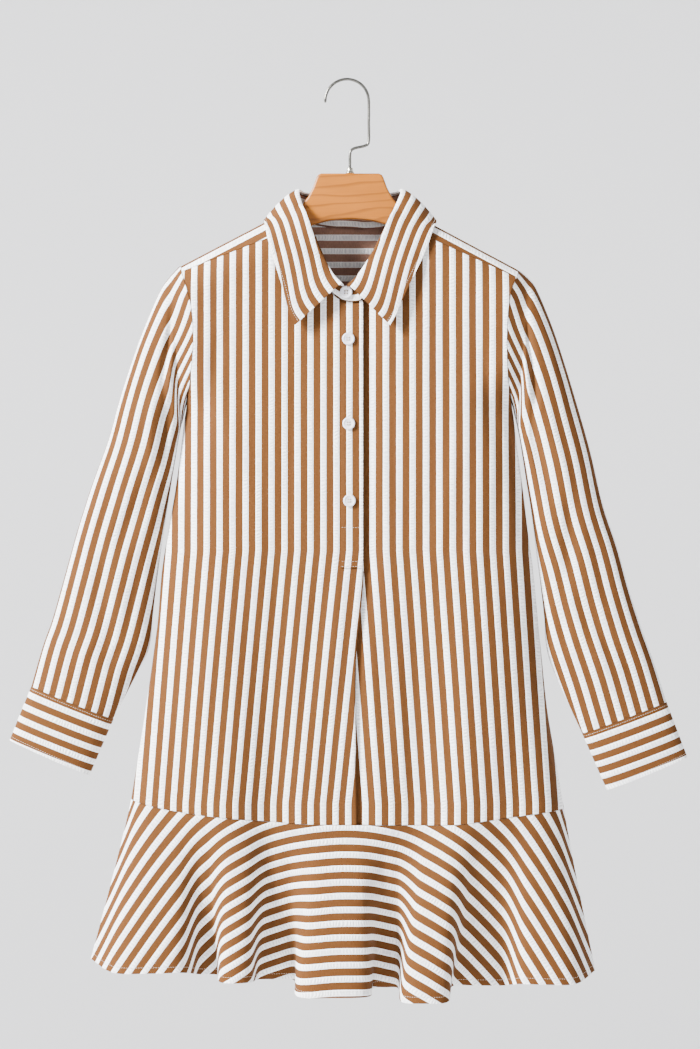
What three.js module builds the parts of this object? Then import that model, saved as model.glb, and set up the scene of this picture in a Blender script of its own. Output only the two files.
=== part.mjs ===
// A long-sleeved shirt dress with a hem flounce, hanging on a wooden hanger.
// Millimetres, +Z up, the front faces -Y, and the origin is the inside top of the hook, where it hangs.
import * as THREE from "three";

// Cloth and gaps
const CLOTH = 1.2;
const COLLAR_CLOTH = 1.6;
const SEAM_GAP = 0.3;
const ARMHOLE_GAP = 0.72;
const STRIP_LIFT = CLOTH + SEAM_GAP;

// Shoulder line: the height at the centre and the fall for each millimetre outwards
const SHOULDER = { left: { top: -112.2, fall: 0.524 }, right: { top: -114.9, fall: 0.535 } };
const SHOULDER_BLEND = 80;
const SHOULDER_ROUND = 45;
const SHOULDER_ARC = 36.7;
const SHOULDER_POINT_X = 192;
// Front yoke seam, which lies a little below the shoulder line
const YOKE_FRONT = { left: { top: -147.9, fall: 0.3825 }, right: { top: -142.4, fall: 0.4516 } };
const YOKE_BACK_Z = -262;
const YOKE_SEAM_XS = [190, 172, 152, 132, 112, 94, 80];

// Half width of the body at each height: the armholes above, the side seams below
const SIDES = [
  { z: -205, left: 197, right: 195 },
  { z: -223, left: 192, right: 192.4 },
  { z: -242, left: 186, right: 184.5 },
  { z: -262, left: 181, right: 181 },
  { z: -292, left: 178.6, right: 179 },
  { z: -320, left: 179.6, right: 179 },
  { z: -352, left: 183.3, right: 181.5 },
  { z: -384, left: 189.7, right: 187.8 },
  { z: -414, left: 193.2, right: 191 },
  { z: -467, left: 200.3, right: 198.4 },
  { z: -520, left: 209.3, right: 204.8 },
  { z: -563, left: 216.2, right: 210.5 },
  { z: -619, left: 220.8, right: 216 },
  { z: -659, left: 226, right: 220 },
  { z: -720, left: 234.6, right: 226.5 },
  { z: -772, left: 242.7, right: 235 },
  { z: -824, left: 251.4, right: 244 },
  { z: -860, left: 257, right: 250 },
];
const UNDERARM_Z = -384;
const ARMHOLE_OPENS_OVER = 80;
const UNDERARM_EASE = 40;
const SIDE_ROUND = 70;

// How far the front and the back stand from the middle plane
const DEPTHS = [
  { z: -110, front: 25, back: 25 },
  { z: -260, front: 30, back: 28 },
  { z: -384, front: 33, back: 30 },
  { z: -560, front: 36, back: 33 },
  { z: -860, front: 42, back: 40 },
];
// Soft upright folds that the hang leaves in the lower body: place and width across, and depth at the hem
const BODY_FOLDS = {
  front: [
    { x: -205, width: 26, deep: 5 },
    { x: -140, width: 30, deep: -6 },
    { x: -88, width: 24, deep: 5 },
    { x: 75, width: 26, deep: 5 },
    { x: 128, width: 28, deep: -5 },
    { x: 190, width: 26, deep: 5 },
  ],
  back: [
    { x: -165, width: 30, deep: 6 },
    { x: -85, width: 26, deep: 5 },
    { x: -15, width: 34, deep: -6 },
    { x: 70, width: 28, deep: 6 },
    { x: 150, width: 30, deep: 5 },
  ],
};
const FOLDS_START_Z = -430;

// Hem seam of the body, from the left side seam to the right
const HEM_SEAM = [
  { x: -252, z: -824.6 },
  { x: -202, z: -834.9 },
  { x: -132, z: -843 },
  { x: -57, z: -849.3 },
  { x: 0, z: -850.4 },
  { x: 112, z: -850.2 },
  { x: 173, z: -843.5 },
  { x: 216, z: -838.4 },
  { x: 246, z: -834.9 },
];
const HEM_CENTRE_Z = -850.4;

// Centre slit and pleat: the fold edge runs straight down to the slit's end, then leans
const PLEAT_EDGE = [
  { z: -240, x: 15 },
  { z: -563, x: 15 },
  { z: -606, x: 12 },
  { z: -650, x: 7.2 },
  { z: -716, x: 5.8 },
  { z: -764, x: 6.1 },
  { z: -860, x: 7.5 },
];
const PLEAT_DEEP = 25;
const PLEAT_TURN = 1.2;
const PLEAT_SETTLES_OVER = 26;
const SLIT_END_Z = -563;
const PLACKET = { from: -10.3, to: 14.6, bottom: -559 };
const UNDER_PLACKET = { from: -8.4, to: 12.6, bottom: -556 };
const STRIPS_START_BELOW = 2.4;

// Neck seam, stand top and leaf edge of the right half, which the left half mirrors, from the front centre over
// the shoulder to the back centre. seamArc is the way over the shoulder, below 0 in front. shift moves the leaf's
// edge to the left, and the stand's top by half of it, because the left end laps over.
const NECK = [
  // seamX, seamArc, topX, topY, topZ, edgeX, edgeY, edgeZ, shift
  [0, -156, 2, -32.5, -242, 54, -42, -284, -8.5],
  [16, -143, 14.5, -31.5, -229.5, 61, -41, -270, -8],
  [37, -106, 29, -28, -207, 69, -39, -247, -6],
  [56, -66, 46, -22, -170, 82, -34, -214, -3],
  [68, -37, 58, -10, -140, 94, -20, -184, -1],
  [74, 0, 60, 2, -130, 99, 1, -161, 0],
  [67, 20, 54, 14, -131, 93, 25, -170, 0],
  [42, 44, 36, 24, -132, 60, 36, -182, 0],
  [0, 66, 0, 27, -133, 0, 38, -186, 0],
].map(([seamX, seamArc, topX, topY, topZ, edgeX, edgeY, edgeZ, shift]) => ({
  seamX, seamArc, topX, topY, topZ, edgeX, edgeY, edgeZ, shift,
}));
// Ends of the stand past the leaf: the left one laps over the right one
const STAND_ENDS = {
  left: [
    { seamX: -9, seamZ: -254.5, topX: -9.5, topZ: -237.5, out: 32 },
    { seamX: -2, seamZ: -256.2, topX: -5, topZ: -240, out: 32.1 },
    { seamX: 4, seamZ: -256.4, topX: 1.5, topZ: -243.5, out: 32.3 },
    { seamX: 8.5, seamZ: -256, topX: 8, topZ: -247.5, out: 32.4 },
    { seamX: 11.5, seamZ: -255, topX: 13, topZ: -252, out: 32.4 },
  ],
  right: [
    { seamX: -8, seamZ: -252.5, topX: -6, topZ: -247, out: 28.4 },
    { seamX: -3, seamZ: -254.5, topX: 0, topZ: -243, out: 28.8 },
  ],
};
const STAND_LEFT_STOPS = 1.86;
const STAND_LIFT = 1.3;
const LEAF_LIFT = 2.4;
const LEAF_ROLL = 8;
const LEAF_STANDS_OFF = 12;
const LEAF_LEANS = 0.16;
// The leaf's front ends stand forward, over the button
const LEAF_ENDS = { from: 0.84, forward: 4.4, standsOff: 4, leans: 0.05 };
const LEAF_CLEAR = 3.5;
const LEAF_CLEAR_FROM = 0.3;
const STAND_TOP_OUT = 0.5;
const NECK_STEP = 0.02;
// The left front end lies outside the right one
const LEFT_LAP = { from: 1.68, over: 0.2, out: 2 };
// and the right one sits a little lower
const RIGHT_DROP = { to: 0.18, down: 1.5 };

// Sleeve sections from the cap to the wrist: the outer and inner edge points, and half the depth
const SLEEVES = {
  left: [
    { outX: 205, outZ: -224, inX: 192.5, inZ: -391, deep: 24 },
    { outX: 218, outZ: -243, inX: 194.5, inZ: -397, deep: 26 },
    { outX: 238.5, outZ: -291, inX: 197.5, inZ: -412, deep: 27 },
    { outX: 253, outZ: -332, inX: 201, inZ: -434, deep: 27 },
    { outX: 265, outZ: -370, inX: 205, inZ: -458, deep: 26 },
    { outX: 277, outZ: -413, inX: 210, inZ: -489, deep: 25 },
    { outX: 295.6, outZ: -464, inX: 216, inZ: -528, deep: 23 },
    { outX: 312, outZ: -515, inX: 222, inZ: -572, deep: 22 },
    { outX: 326.6, outZ: -567, inX: 226.5, inZ: -610, deep: 21 },
    { outX: 341, outZ: -618, inX: 231, inZ: -650, deep: 20 },
    { outX: 352, outZ: -649, inX: 243, inZ: -676, deep: 19 },
    { outX: 365.5, outZ: -695.5, inX: 272, inZ: -733, deep: 16 },
  ],
  right: [
    { outX: 203.5, outZ: -226, inX: 191, inZ: -391, deep: 24 },
    { outX: 214, outZ: -240, inX: 192.5, inZ: -397, deep: 26 },
    { outX: 232, outZ: -283, inX: 195.5, inZ: -412, deep: 27 },
    { outX: 247, outZ: -328, inX: 199, inZ: -434, deep: 27 },
    { outX: 260, outZ: -371, inX: 203, inZ: -460, deep: 26 },
    { outX: 275.4, outZ: -425, inX: 208.5, inZ: -494, deep: 25 },
    { outX: 290, outZ: -487, inX: 214.5, inZ: -540, deep: 23 },
    { outX: 306, outZ: -535, inX: 219.5, inZ: -580, deep: 22 },
    { outX: 320, outZ: -585, inX: 223.5, inZ: -616, deep: 21 },
    { outX: 334, outZ: -628, inX: 226, inZ: -650, deep: 20 },
    { outX: 348, outZ: -667, inX: 236, inZ: -682, deep: 19 },
    { outX: 363, outZ: -713.5, inX: 267, inZ: -749.5, deep: 16 },
  ],
};
// Sleeve creases: start and end along the sleeve (0 cap, 1 wrist) and round it (0 outer edge, 0.5 middle of the
// front and back, 1 inner edge), depth and width
const SLEEVE_CREASES = {
  left: [
    { along0: 0.02, round0: 0.3, along1: 0.17, round1: 0.55, deep: 5, width: 9 },
    { along0: 0.14, round0: 0.72, along1: 0.34, round1: 0.86, deep: 8, width: 11 },
    { along0: 0.42, round0: 0.8, along1: 0.62, round1: 0.5, deep: 4, width: 14 },
    { along0: 0.66, round0: 0.35, along1: 0.86, round1: 0.6, deep: 3.5, width: 14 },
  ],
  right: [
    { along0: 0.03, round0: 0.35, along1: 0.22, round1: 0.62, deep: 6, width: 9 },
    { along0: 0.18, round0: 0.8, along1: 0.46, round1: 0.74, deep: 8, width: 11 },
    { along0: 0.5, round0: 0.45, along1: 0.66, round1: 0.7, deep: 4, width: 14 },
    { along0: 0.7, round0: 0.6, along1: 0.88, round1: 0.36, deep: 3.5, width: 14 },
  ],
};
// Cuffs: edge points at the bottom, and half the depth there
const CUFFS = {
  left: { outX: 390.5, outZ: -757.5, inX: 299.5, inZ: -797.5, deep: 15 },
  right: { outX: 387, outZ: -777, inX: 295.5, inZ: -814.5, deep: 15 },
};

// Flounce waves along the hem: from and to across the wave's crest, its depth and its height
const FLOUNCE_FRONT = [
  { from: -299, to: -296, y: -0.4, z: -1009 },
  { from: -268, to: -190, y: -42, z: -1019 },
  { from: -172, to: -154, y: 8, z: -1028 },
  { from: -146, to: -114, y: -48, z: -1029 },
  { from: -104, to: -66, y: 10, z: -1034 },
  { from: -58, to: 20, y: -56, z: -1044 },
  { from: 28, to: 54, y: 8, z: -1043 },
  { from: 60, to: 109, y: -58, z: -1050 },
  { from: 119, to: 172, y: 8, z: -1041 },
  { from: 196, to: 256, y: -40, z: -1032 },
  { from: 280, to: 283, y: -0.4, z: -1022 },
];
const FLOUNCE_BACK = [
  { from: 283, to: 280, y: 0.4, z: -1022 },
  { from: 250, to: 205, y: 56, z: -1030 },
  { from: 182, to: 140, y: 26, z: -1038 },
  { from: 118, to: 62, y: 66, z: -1042 },
  { from: 40, to: 4, y: 25, z: -1042 },
  { from: -18, to: -82, y: 68, z: -1040 },
  { from: -104, to: -142, y: 26, z: -1034 },
  { from: -168, to: -214, y: 62, z: -1026 },
  { from: -240, to: -262, y: 36, z: -1016 },
  { from: -296, to: -299, y: 0.4, z: -1009 },
];
// How the flounce widens and its waves deepen on the way down, and how round a wide crest is
const FLOUNCE_FLARE = 1.08;
const FLOUNCE_WAVE_GROWTH = 1.25;
const CREST_SHOULDER = 0.86;
const WIDE_CREST = 10;
const ARC_DIVISIONS = 800;

// Buttons: centres in the front view
const BUTTON = { across: 14.2, thick: 2.2, bevel: 0.4, hole: 0.9, holeRing: 2, gap: 0.35 };
const PLACKET_BUTTONS = [
  { x: -1.8, z: -299 },
  { x: -1.4, z: -395.3 },
  { x: -0.6, z: -483 },
];
const STAND_BUTTON = { x: -4.4, z: -246 };

// Hanger
const WOOD_THICK = 12;
const WOOD_BEVEL = 2.2;
const WOOD_TOP = { z: -107, halfWidth: 33, cornerX: 38, cornerZ: -111, shoulderX: 42.5, shoulderZ: -123 };
const WOOD_NECK = { lowX: 57, lowZ: -145, dipX: 86, dip: 8 };
const WOOD_ARM = { underCloth: 0.7, from: 108, reach: 181, tipRound: 4, deepInside: 30, deepTip: 17 };
const WOOD_ARCH = [
  { x: 46, z: -167 },
  { x: 24, z: -160.7 },
  { x: 0, z: -159.3 },
];
const WIRE_RADIUS = 1.7;
const HOOK = { centreX: -3.45, centreZ: -23.3, radius: 25, pastHalf: 0.08 };
const HOOK_STEM = [
  { x: 0, z: -106.4 },
  { x: 0, z: -94 },
  { x: 0, z: -85 },
  { x: 1, z: -80.6 },
  { x: 4.4, z: -78 },
  { x: 16.6, z: -75 },
  { x: 20.4, z: -73 },
  { x: 21.55, z: -69 },
  { x: 21.55, z: -48 },
];
const FERRULE = { inner: 2.05, neck: 3.6, outer: 5, foot: -106.6, rimTop: -105.4, fillet: 1, top: -100.4 };

const COLOURS = { cloth: 0xc9a486, wood: 0xd69e5c, steel: 0xb8b6b0, button: 0xf0eef0 };

// Numbers between rows
const lerp = (a, b, t) => a + (b - a) * t;
const clamp = (t) => Math.min(1, Math.max(0, t));
const smooth = (t) => clamp(t) ** 2 * (3 - 2 * clamp(t));
const round = (t) => Math.sqrt(1 - (1 - clamp(t)) ** 2);

/** The value of a column at a place, on a smooth curve through the rows. */
function column(rows, key, at, name) {
  const rising = rows[rows.length - 1][key] > rows[0][key] ? 1 : -1;
  let i = 0;
  while (i < rows.length - 2 && (at - rows[i + 1][key]) * rising > 0) {
    i += 1;
  }
  const slope = (j) => {
    const a = rows[Math.max(0, j - 1)];
    const b = rows[Math.min(rows.length - 1, j + 1)];
    return (b[name] - a[name]) / (b[key] - a[key]);
  };
  const [a, b] = [rows[i], rows[i + 1]];
  const step = b[key] - a[key];
  const t = clamp((at - a[key]) / step);
  const [t2, t3] = [t * t, t * t * t];
  return (
    (2 * t3 - 3 * t2 + 1) * a[name] +
    (t3 - 2 * t2 + t) * step * slope(i) +
    (3 * t2 - 2 * t3) * b[name] +
    (t3 - t2) * step * slope(i + 1)
  );
}

/** A row of values at a part of the way (0 to 1) down a table whose rows are evenly spaced. */
function rowAt(rows, part) {
  const numbered = rows.map((row, index) => ({ ...row, index }));
  const at = part * (rows.length - 1);
  const names = Object.keys(rows[0]);
  return Object.fromEntries(names.map((name) => [name, column(numbered, "index", at, name)]));
}

// The body's form
const sideName = (x) => (x < 0 ? "left" : "right");
function shoulderZ(x) {
  const height = (side) => SHOULDER[side].top - SHOULDER[side].fall * Math.abs(x);
  return lerp(height("left"), height("right"), smooth(0.5 + x / SHOULDER_BLEND));
}
const yokeFrontZ = (x) => YOKE_FRONT[sideName(x)].top - YOKE_FRONT[sideName(x)].fall * Math.abs(x);
const halfWidth = (side, z) => column(SIDES, "z", z, side) - CLOTH / 2;

/** The arc length over the shoulder that reaches a drop below it, and the drop that an arc length reaches. */
function arcAt(drop) {
  if (drop >= SHOULDER_ROUND) {
    return (Math.PI / 2) * SHOULDER_ARC + drop - SHOULDER_ROUND;
  }
  return SHOULDER_ARC * Math.acos(1 - Math.max(0, drop) / SHOULDER_ROUND);
}
function dropAt(arc) {
  const turn = Math.abs(arc) / SHOULDER_ARC;
  const straight = Math.abs(arc) - (Math.PI / 2) * SHOULDER_ARC;
  return turn < Math.PI / 2 ? SHOULDER_ROUND * (1 - Math.cos(turn)) : SHOULDER_ROUND + straight;
}

/** How far the front or back stands from the middle plane, before the shoulder rounds it off. */
function fullDepth(face, x, z) {
  const opening = smooth((z - UNDERARM_Z) / ARMHOLE_OPENS_OVER) * SIDE_ROUND;
  const inFromSide = halfWidth(sideName(x), z) + (z > UNDERARM_Z ? opening : 0) - Math.abs(x);
  const folds = BODY_FOLDS[face].reduce((sum, fold) => {
    const across = (x - fold.x) / fold.width;
    return sum - fold.deep * Math.exp(-across * across);
  }, 0);
  const hang = smooth((FOLDS_START_Z - z) / (FOLDS_START_Z - HEM_CENTRE_Z));
  return (column(DEPTHS, "z", z, face) + folds * hang) * round(inFromSide / SIDE_ROUND);
}
const wallDepth = (face, x, z) => fullDepth(face, x, z) * round((shoulderZ(x) - z) / SHOULDER_ROUND);

/** A point moved out, where it needs it, until it is clear of the body's middle surface by a distance. */
function outsideBody(point, clear) {
  const deep = fullDepth(point.y < 0 ? "front" : "back", point.x, point.z) + clear;
  const centreZ = shoulderZ(point.x) - SHOULDER_ROUND;
  if (point.z < centreZ) {
    return point.setY(Math.sign(point.y) * Math.max(Math.abs(point.y), deep));
  }
  const reach = Math.hypot(point.y / deep, (point.z - centreZ) / (SHOULDER_ROUND + clear));
  if (reach < 1) {
    point.y /= reach;
    point.z = centreZ + (point.z - centreZ) / reach;
  }
  return point;
}

/** A point of the front at x and z, sunk inwards by an inset. */
function frontPoint(x, z, inset = 0) {
  return new THREE.Vector3(x, -wallDepth("front", x, z) + inset - SEAM_GAP / 2, z);
}
function backPoint(x, z) {
  return new THREE.Vector3(x, wallDepth("back", x, z) + SEAM_GAP / 2, z);
}

/**
 * A closed wall of cloth from a grid of points on its middle surface. Seen from outside, a grid row runs from
 * left to right and the rows run down. Cells that keep() refuses are left open.
 */
function wall(grid, thickness, { ring = false, keep = () => true, settle = (normal) => normal } = {}) {
  const rows = grid.length;
  const columns = grid[0].length;
  const wrap = (c) => (ring ? (c + columns) % columns : Math.min(columns - 1, Math.max(0, c)));
  const at = (r, c) => grid[Math.min(rows - 1, Math.max(0, r))][wrap(c)];
  const positions = [];
  for (const side of [0.5, -0.5]) {
    for (let r = 0; r < rows; r += 1) {
      for (let c = 0; c < columns; c += 1) {
        const across = at(r, c + 1).clone().sub(at(r, c - 1));
        const down = at(r + 1, c).clone().sub(at(r - 1, c));
        const normal = settle(down.cross(across).normalize(), r, c).normalize();
        const point = at(r, c).clone().addScaledVector(normal, side * thickness);
        positions.push(point.x, point.y, point.z);
      }
    }
  }
  const cells = ring ? columns : columns - 1;
  const kept = (r, c) => {
    const inside = r >= 0 && r < rows - 1 && (ring || (c >= 0 && c < cells));
    return inside && keep(r, ring ? (c + cells) % cells : c);
  };
  const outer = (r, c) => r * columns + wrap(c);
  const inner = (r, c) => rows * columns + outer(r, c);
  const faces = [];
  for (let r = 0; r < rows - 1; r += 1) {
    for (let c = 0; c < cells; c += 1) {
      if (!kept(r, c)) {
        continue;
      }
      const corners = [[r, c], [r, c + 1], [r + 1, c + 1], [r + 1, c]];
      const [a, b, d, e] = corners.map(([i, j]) => outer(i, j));
      const [ai, bi, di, ei] = corners.map(([i, j]) => inner(i, j));
      faces.push(a, e, d, a, d, b, ai, di, ei, ai, bi, di);
      const open = [!kept(r - 1, c), !kept(r, c + 1), !kept(r + 1, c), !kept(r, c - 1)];
      const edges = [[a, b, bi, ai], [b, d, di, bi], [d, e, ei, di], [e, a, ai, ei]];
      edges.forEach(([p, q, qi, pi], index) => {
        if (open[index]) {
          faces.push(p, q, qi, p, qi, pi);
        }
      });
    }
  }
  const geometry = new THREE.BufferGeometry();
  geometry.setAttribute("position", new THREE.Float32BufferAttribute(positions, 3));
  geometry.setIndex(faces);
  return geometry;
}

const steps = (count) => Array.from({ length: count + 1 }, (_, i) => i / count);
const noDepth = (normal) => normal.setY(0);
const noWidth = (normal) => normal.setX(0);

// Front
const neckRows = NECK.filter((row) => row.seamArc <= 0);
const neckFrontX = NECK[4].seamX;
/** Height of the front's top edge: the neck seam in the middle, the yoke seam beside it. */
function frontTopZ(x) {
  const neck = shoulderZ(x) - dropAt(column(neckRows, "seamX", Math.abs(x), "seamArc"));
  const seam = yokeFrontZ(x);
  return Math.abs(x) < neckFrontX ? Math.min(neck, seam) : seam;
}
const hemZ = (x) => column(HEM_SEAM, "x", x, "z");

const UPPER_ROWS = [0, 0.03, 0.06, 0.1, 0.15, 0.2, 0.245, 0.3];
const LOWER_ROWS = [0.36, 0.43, 0.5, 0.565, 0.63, 0.7, 0.77, 0.84, 0.92, 1];
const FRONT_ROWS = [...UPPER_ROWS, ...LOWER_ROWS];
const SLIT_ROW = UPPER_ROWS.length;
const LEFT_SPREAD = [0, 0.02, 0.06, 0.13, 0.22, 0.32, 0.42, 0.5, 0.58, 0.65, 0.73, 0.81, 0.88, 0.94, 1];
const RIGHT_SPREAD = [0, 0.08, 0.12, 0.18, 0.26, 0.33, 0.4, 0.47, 0.55, 0.64, 0.74, 0.84, 0.92, 0.97, 1];
const TURN = [0, 0.25, 0.5, 0.75, 1];

/** The front's columns, which give x and inset at a height. The pleat's two turns lie between its two sides. */
function frontColumns() {
  const edge = (z) => column(PLEAT_EDGE, "z", z, "x");
  const list = [];
  for (const t of LEFT_SPREAD) {
    list.push((z) => ({ x: lerp(-halfWidth("left", z), edge(z) - PLEAT_TURN, t), inset: 0 }));
  }
  for (const t of TURN.slice(1)) {
    const turn = Math.PI * (t - 0.5);
    list.push((z) => ({
      x: edge(z) - PLEAT_TURN + PLEAT_TURN * Math.cos(turn),
      inset: PLEAT_TURN + PLEAT_TURN * Math.sin(turn),
    }));
  }
  const backX = (z) => edge(z) - PLEAT_DEEP;
  for (const t of TURN) {
    const turn = Math.PI * (t - 0.5);
    list.push((z) => ({
      x: backX(z) + PLEAT_TURN - PLEAT_TURN * Math.cos(turn),
      inset: 3 * PLEAT_TURN + PLEAT_TURN * Math.sin(turn),
    }));
  }
  for (const t of RIGHT_SPREAD.slice(1)) {
    list.push((z) => {
      const x = lerp(backX(z) + PLEAT_TURN, halfWidth("right", z), t);
      const settled = smooth((x - edge(z)) / PLEAT_SETTLES_OVER);
      return { x, inset: 4 * PLEAT_TURN * (1 - settled) };
    });
  }
  return list;
}
const SLIT_FROM = LEFT_SPREAD.length - 1;
const SLIT_TO = SLIT_FROM + 2 * (TURN.length - 1) + 1;

function front() {
  const columns = frontColumns();
  const grid = FRONT_ROWS.map((part) =>
    columns.map((place, c) => {
      const level = part < FRONT_ROWS[SLIT_ROW] ? part / FRONT_ROWS[SLIT_ROW] : 0;
      const lower = (part - FRONT_ROWS[SLIT_ROW]) / (1 - FRONT_ROWS[SLIT_ROW]);
      // A few passes, because the top and hem heights depend on x and x depends on the height
      let z = SLIT_END_Z;
      let spot = place(z);
      for (let pass = 0; pass < 4; pass += 1) {
        z = lower < 0 ? lerp(frontTopZ(spot.x), SLIT_END_Z, level) : lerp(SLIT_END_Z, hemZ(spot.x), lower);
        spot = place(z);
      }
      return frontPoint(spot.x, z, spot.inset);
    }),
  );
  const last = columns.length - 1;
  return wall(grid, CLOTH, {
    keep: (r, c) => r >= SLIT_ROW || c < SLIT_FROM || c >= SLIT_TO,
    settle: (normal, r, c) => {
      if (c !== 0 && c !== last) {
        return normal;
      }
      return grid[r][c].z > UNDERARM_Z ? noWidth(normal) : noDepth(normal);
    },
  });
}

// Back
function back() {
  const across = steps(22);
  const down = [0, 0.06, 0.13, 0.21, 0.3, 0.4, 0.5, 0.6, 0.7, 0.8, 0.9, 1];
  const topZ = YOKE_BACK_Z - CLOTH / 2 - SEAM_GAP;
  const grid = down.map((part) =>
    across.map((t) => {
      const z0 = lerp(topZ, HEM_CENTRE_Z, part);
      const x0 = lerp(halfWidth("right", z0), -halfWidth("left", z0), t);
      const z = lerp(topZ, hemZ(x0), part);
      return backPoint(lerp(halfWidth("right", z), -halfWidth("left", z), t), z);
    }),
  );
  const last = across.length - 1;
  return wall(grid, CLOTH, {
    settle: (normal, r, c) => {
      if (c !== 0 && c !== last) {
        return normal;
      }
      return grid[r][c].z > UNDERARM_Z ? noWidth(normal) : noDepth(normal);
    },
  });
}

// Yoke: laid out by its place across (-1 to 1) and its arc over the shoulder (below 0 in front, above 0 behind)
/** The point at x that lies an arc length over the shoulder. */
function shoulderPoint(x, arc) {
  const z = shoulderZ(x) - dropAt(arc);
  return new THREE.Vector3(x, Math.sign(arc) * wallDepth(arc < 0 ? "front" : "back", x, z), z);
}
/** The same for a place across, which is a share of the half width at that height. */
function yokePoint(across, arc) {
  let x = across * SHOULDER_POINT_X;
  for (let pass = 0; pass < 4; pass += 1) {
    x = across * halfWidth(sideName(across), shoulderZ(x) - dropAt(arc));
  }
  return shoulderPoint(x, arc);
}
/** The yoke's upper edge on one side: from the armhole along the front seam, and round the neck. */
function yokeEdge(sign) {
  const seam = YOKE_SEAM_XS.map((x) => ({
    x: sign * x,
    arc: -arcAt(shoulderZ(sign * x) - yokeFrontZ(sign * x) - 2 * SEAM_GAP),
  }));
  const neck = steps(9).map((t) => {
    const row = rowAt(NECK, (1 + t) / 2);
    return { x: sign * row.seamX, arc: row.seamArc };
  });
  return [...seam, ...neck];
}
const YOKE_ROWS = [0, 0.1, 0.2, 0.3, 0.38, 0.47, 0.58, 0.7, 0.85, 1];
const YOKE_RIDGE_ROW = 0.3;
const YOKE_RIDGE_EASE = 20;
function yoke() {
  const upper = [...yokeEdge(-1), ...yokeEdge(1).slice(0, -1).reverse()];
  const last = upper.length - 1;
  const grid = YOKE_ROWS.map((part) =>
    upper.map((edge, i) => {
      const even = lerp(-1, 1, i / last);
      const start = edge.x / halfWidth(sideName(edge.x), shoulderZ(edge.x) - dropAt(edge.arc));
      const across = i === 0 || i === last ? Math.sign(even) : lerp(start, even, 1 - (1 - part) ** 3);
      const lowArc = arcAt(shoulderZ(across * halfWidth("left", YOKE_BACK_Z)) - YOKE_BACK_Z);
      const overRidge =
        part < YOKE_RIDGE_ROW
          ? lerp(edge.arc, 0, part / YOKE_RIDGE_ROW)
          : lerp(0, lowArc, (part - YOKE_RIDGE_ROW) / (1 - YOKE_RIDGE_ROW));
      const straight = lerp(edge.arc, lowArc, part);
      return yokePoint(across, lerp(straight, overRidge, smooth(-edge.arc / YOKE_RIDGE_EASE)));
    }),
  );
  return wall(grid, CLOTH, {
    settle: (normal, r, c) => (c === 0 || c === last ? noWidth(normal) : normal),
  });
}

// Collar, laid out round the neck from the right front end over the back to the left front end
/** Seam, stand top and leaf edge at a place round the neck: 0 right front, 1 back centre, 2 left front. */
function neckAt(turn) {
  const sign = turn <= 1 ? 1 : -1;
  const row = rowAt(NECK, turn <= 1 ? turn : 2 - turn);
  const lap = LEFT_LAP.out * smooth((turn - LEFT_LAP.from) / LEFT_LAP.over);
  const drop = RIGHT_DROP.down * smooth((RIGHT_DROP.to - turn) / RIGHT_DROP.to);
  return {
    seam: shoulderPoint(sign * row.seamX, row.seamArc),
    top: new THREE.Vector3(sign * row.topX + row.shift / 2, row.topY - lap, row.topZ - drop),
    edge: new THREE.Vector3(sign * row.edgeX + row.shift, row.edgeY, row.edgeZ),
  };
}
const NECK_TURNS = steps(36).map((t) => 2 * t);

/** The direction that one of the neck's lines runs in at a place round it. */
function neckDirection(turn, line) {
  const ahead = neckAt(Math.min(2, turn + NECK_STEP))[line];
  return ahead.sub(neckAt(Math.max(0, turn - NECK_STEP))[line]).normalize();
}

/** The stand's lower edge, square to the neck seam and clear of the cloth that it is sewn to. */
function standFoot(turn) {
  const { seam, top } = neckAt(turn);
  const along = neckDirection(turn, "seam");
  const inwards = top.clone().sub(seam);
  inwards.addScaledVector(along, -inwards.dot(along)).normalize();
  return { seam: seam.addScaledVector(inwards, STAND_LIFT), top };
}

function collarStand() {
  const end = (row) => ({
    seam: new THREE.Vector3(row.seamX, -row.out, row.seamZ),
    top: new THREE.Vector3(row.topX, -row.out - STAND_TOP_OUT, row.topZ),
  });
  const turns = NECK_TURNS.filter((turn) => turn < STAND_LEFT_STOPS);
  const columns = [...STAND_ENDS.right.map(end), ...turns.map(standFoot), ...STAND_ENDS.left.map(end)];
  const grid = [1, 0.5, 0].map((part) => columns.map(({ seam, top }) => seam.clone().lerp(top, part)));
  return wall(grid, CLOTH);
}

/** The leaf's section: up from the stand's top, over the roll and down to the edge. */
function leafPoint({ seam, top, edge }, ahead, end, part) {
  const up = top.clone().sub(seam).normalize();
  const out = ahead.clone().cross(up).normalize();
  const start = top.clone().addScaledVector(up, LEAF_LIFT);
  start.y -= LEAF_ENDS.forward * end;
  const rise = start.clone().addScaledVector(up, LEAF_ROLL);
  const turn = start.clone().addScaledVector(out, lerp(LEAF_STANDS_OFF, LEAF_ENDS.standsOff, end));
  turn.addScaledVector(up, LEAF_ROLL / 2).lerp(edge, lerp(LEAF_LEANS, LEAF_ENDS.leans, end));
  const point = new THREE.CubicBezierCurve3(start, rise, turn, edge).getPoint(part);
  return part > LEAF_CLEAR_FROM ? outsideBody(point, LEAF_CLEAR) : point;
}
function collarLeaf() {
  const parts = [0, 0.1, 0.2, 0.32, 0.46, 0.64, 0.82, 1];
  const grid = parts.map((part) =>
    NECK_TURNS.map((turn) => {
      const end = smooth((Math.abs(turn - 1) - LEAF_ENDS.from) / (1 - LEAF_ENDS.from));
      return leafPoint(neckAt(turn), neckDirection(turn, "top"), end, part);
    }),
  );
  return wall(grid, COLLAR_CLOTH);
}

// Placket strips, laid on the front's points and moved out
function strip(size, inset) {
  const across = steps(4);
  const down = steps(9);
  const grid = down.map((part) =>
    across.map((t) => {
      const x = lerp(size.from, size.to, t);
      return frontPoint(x, lerp(frontTopZ(x) - STRIPS_START_BELOW, size.bottom, part), inset);
    }),
  );
  return wall(grid, CLOTH);
}

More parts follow.
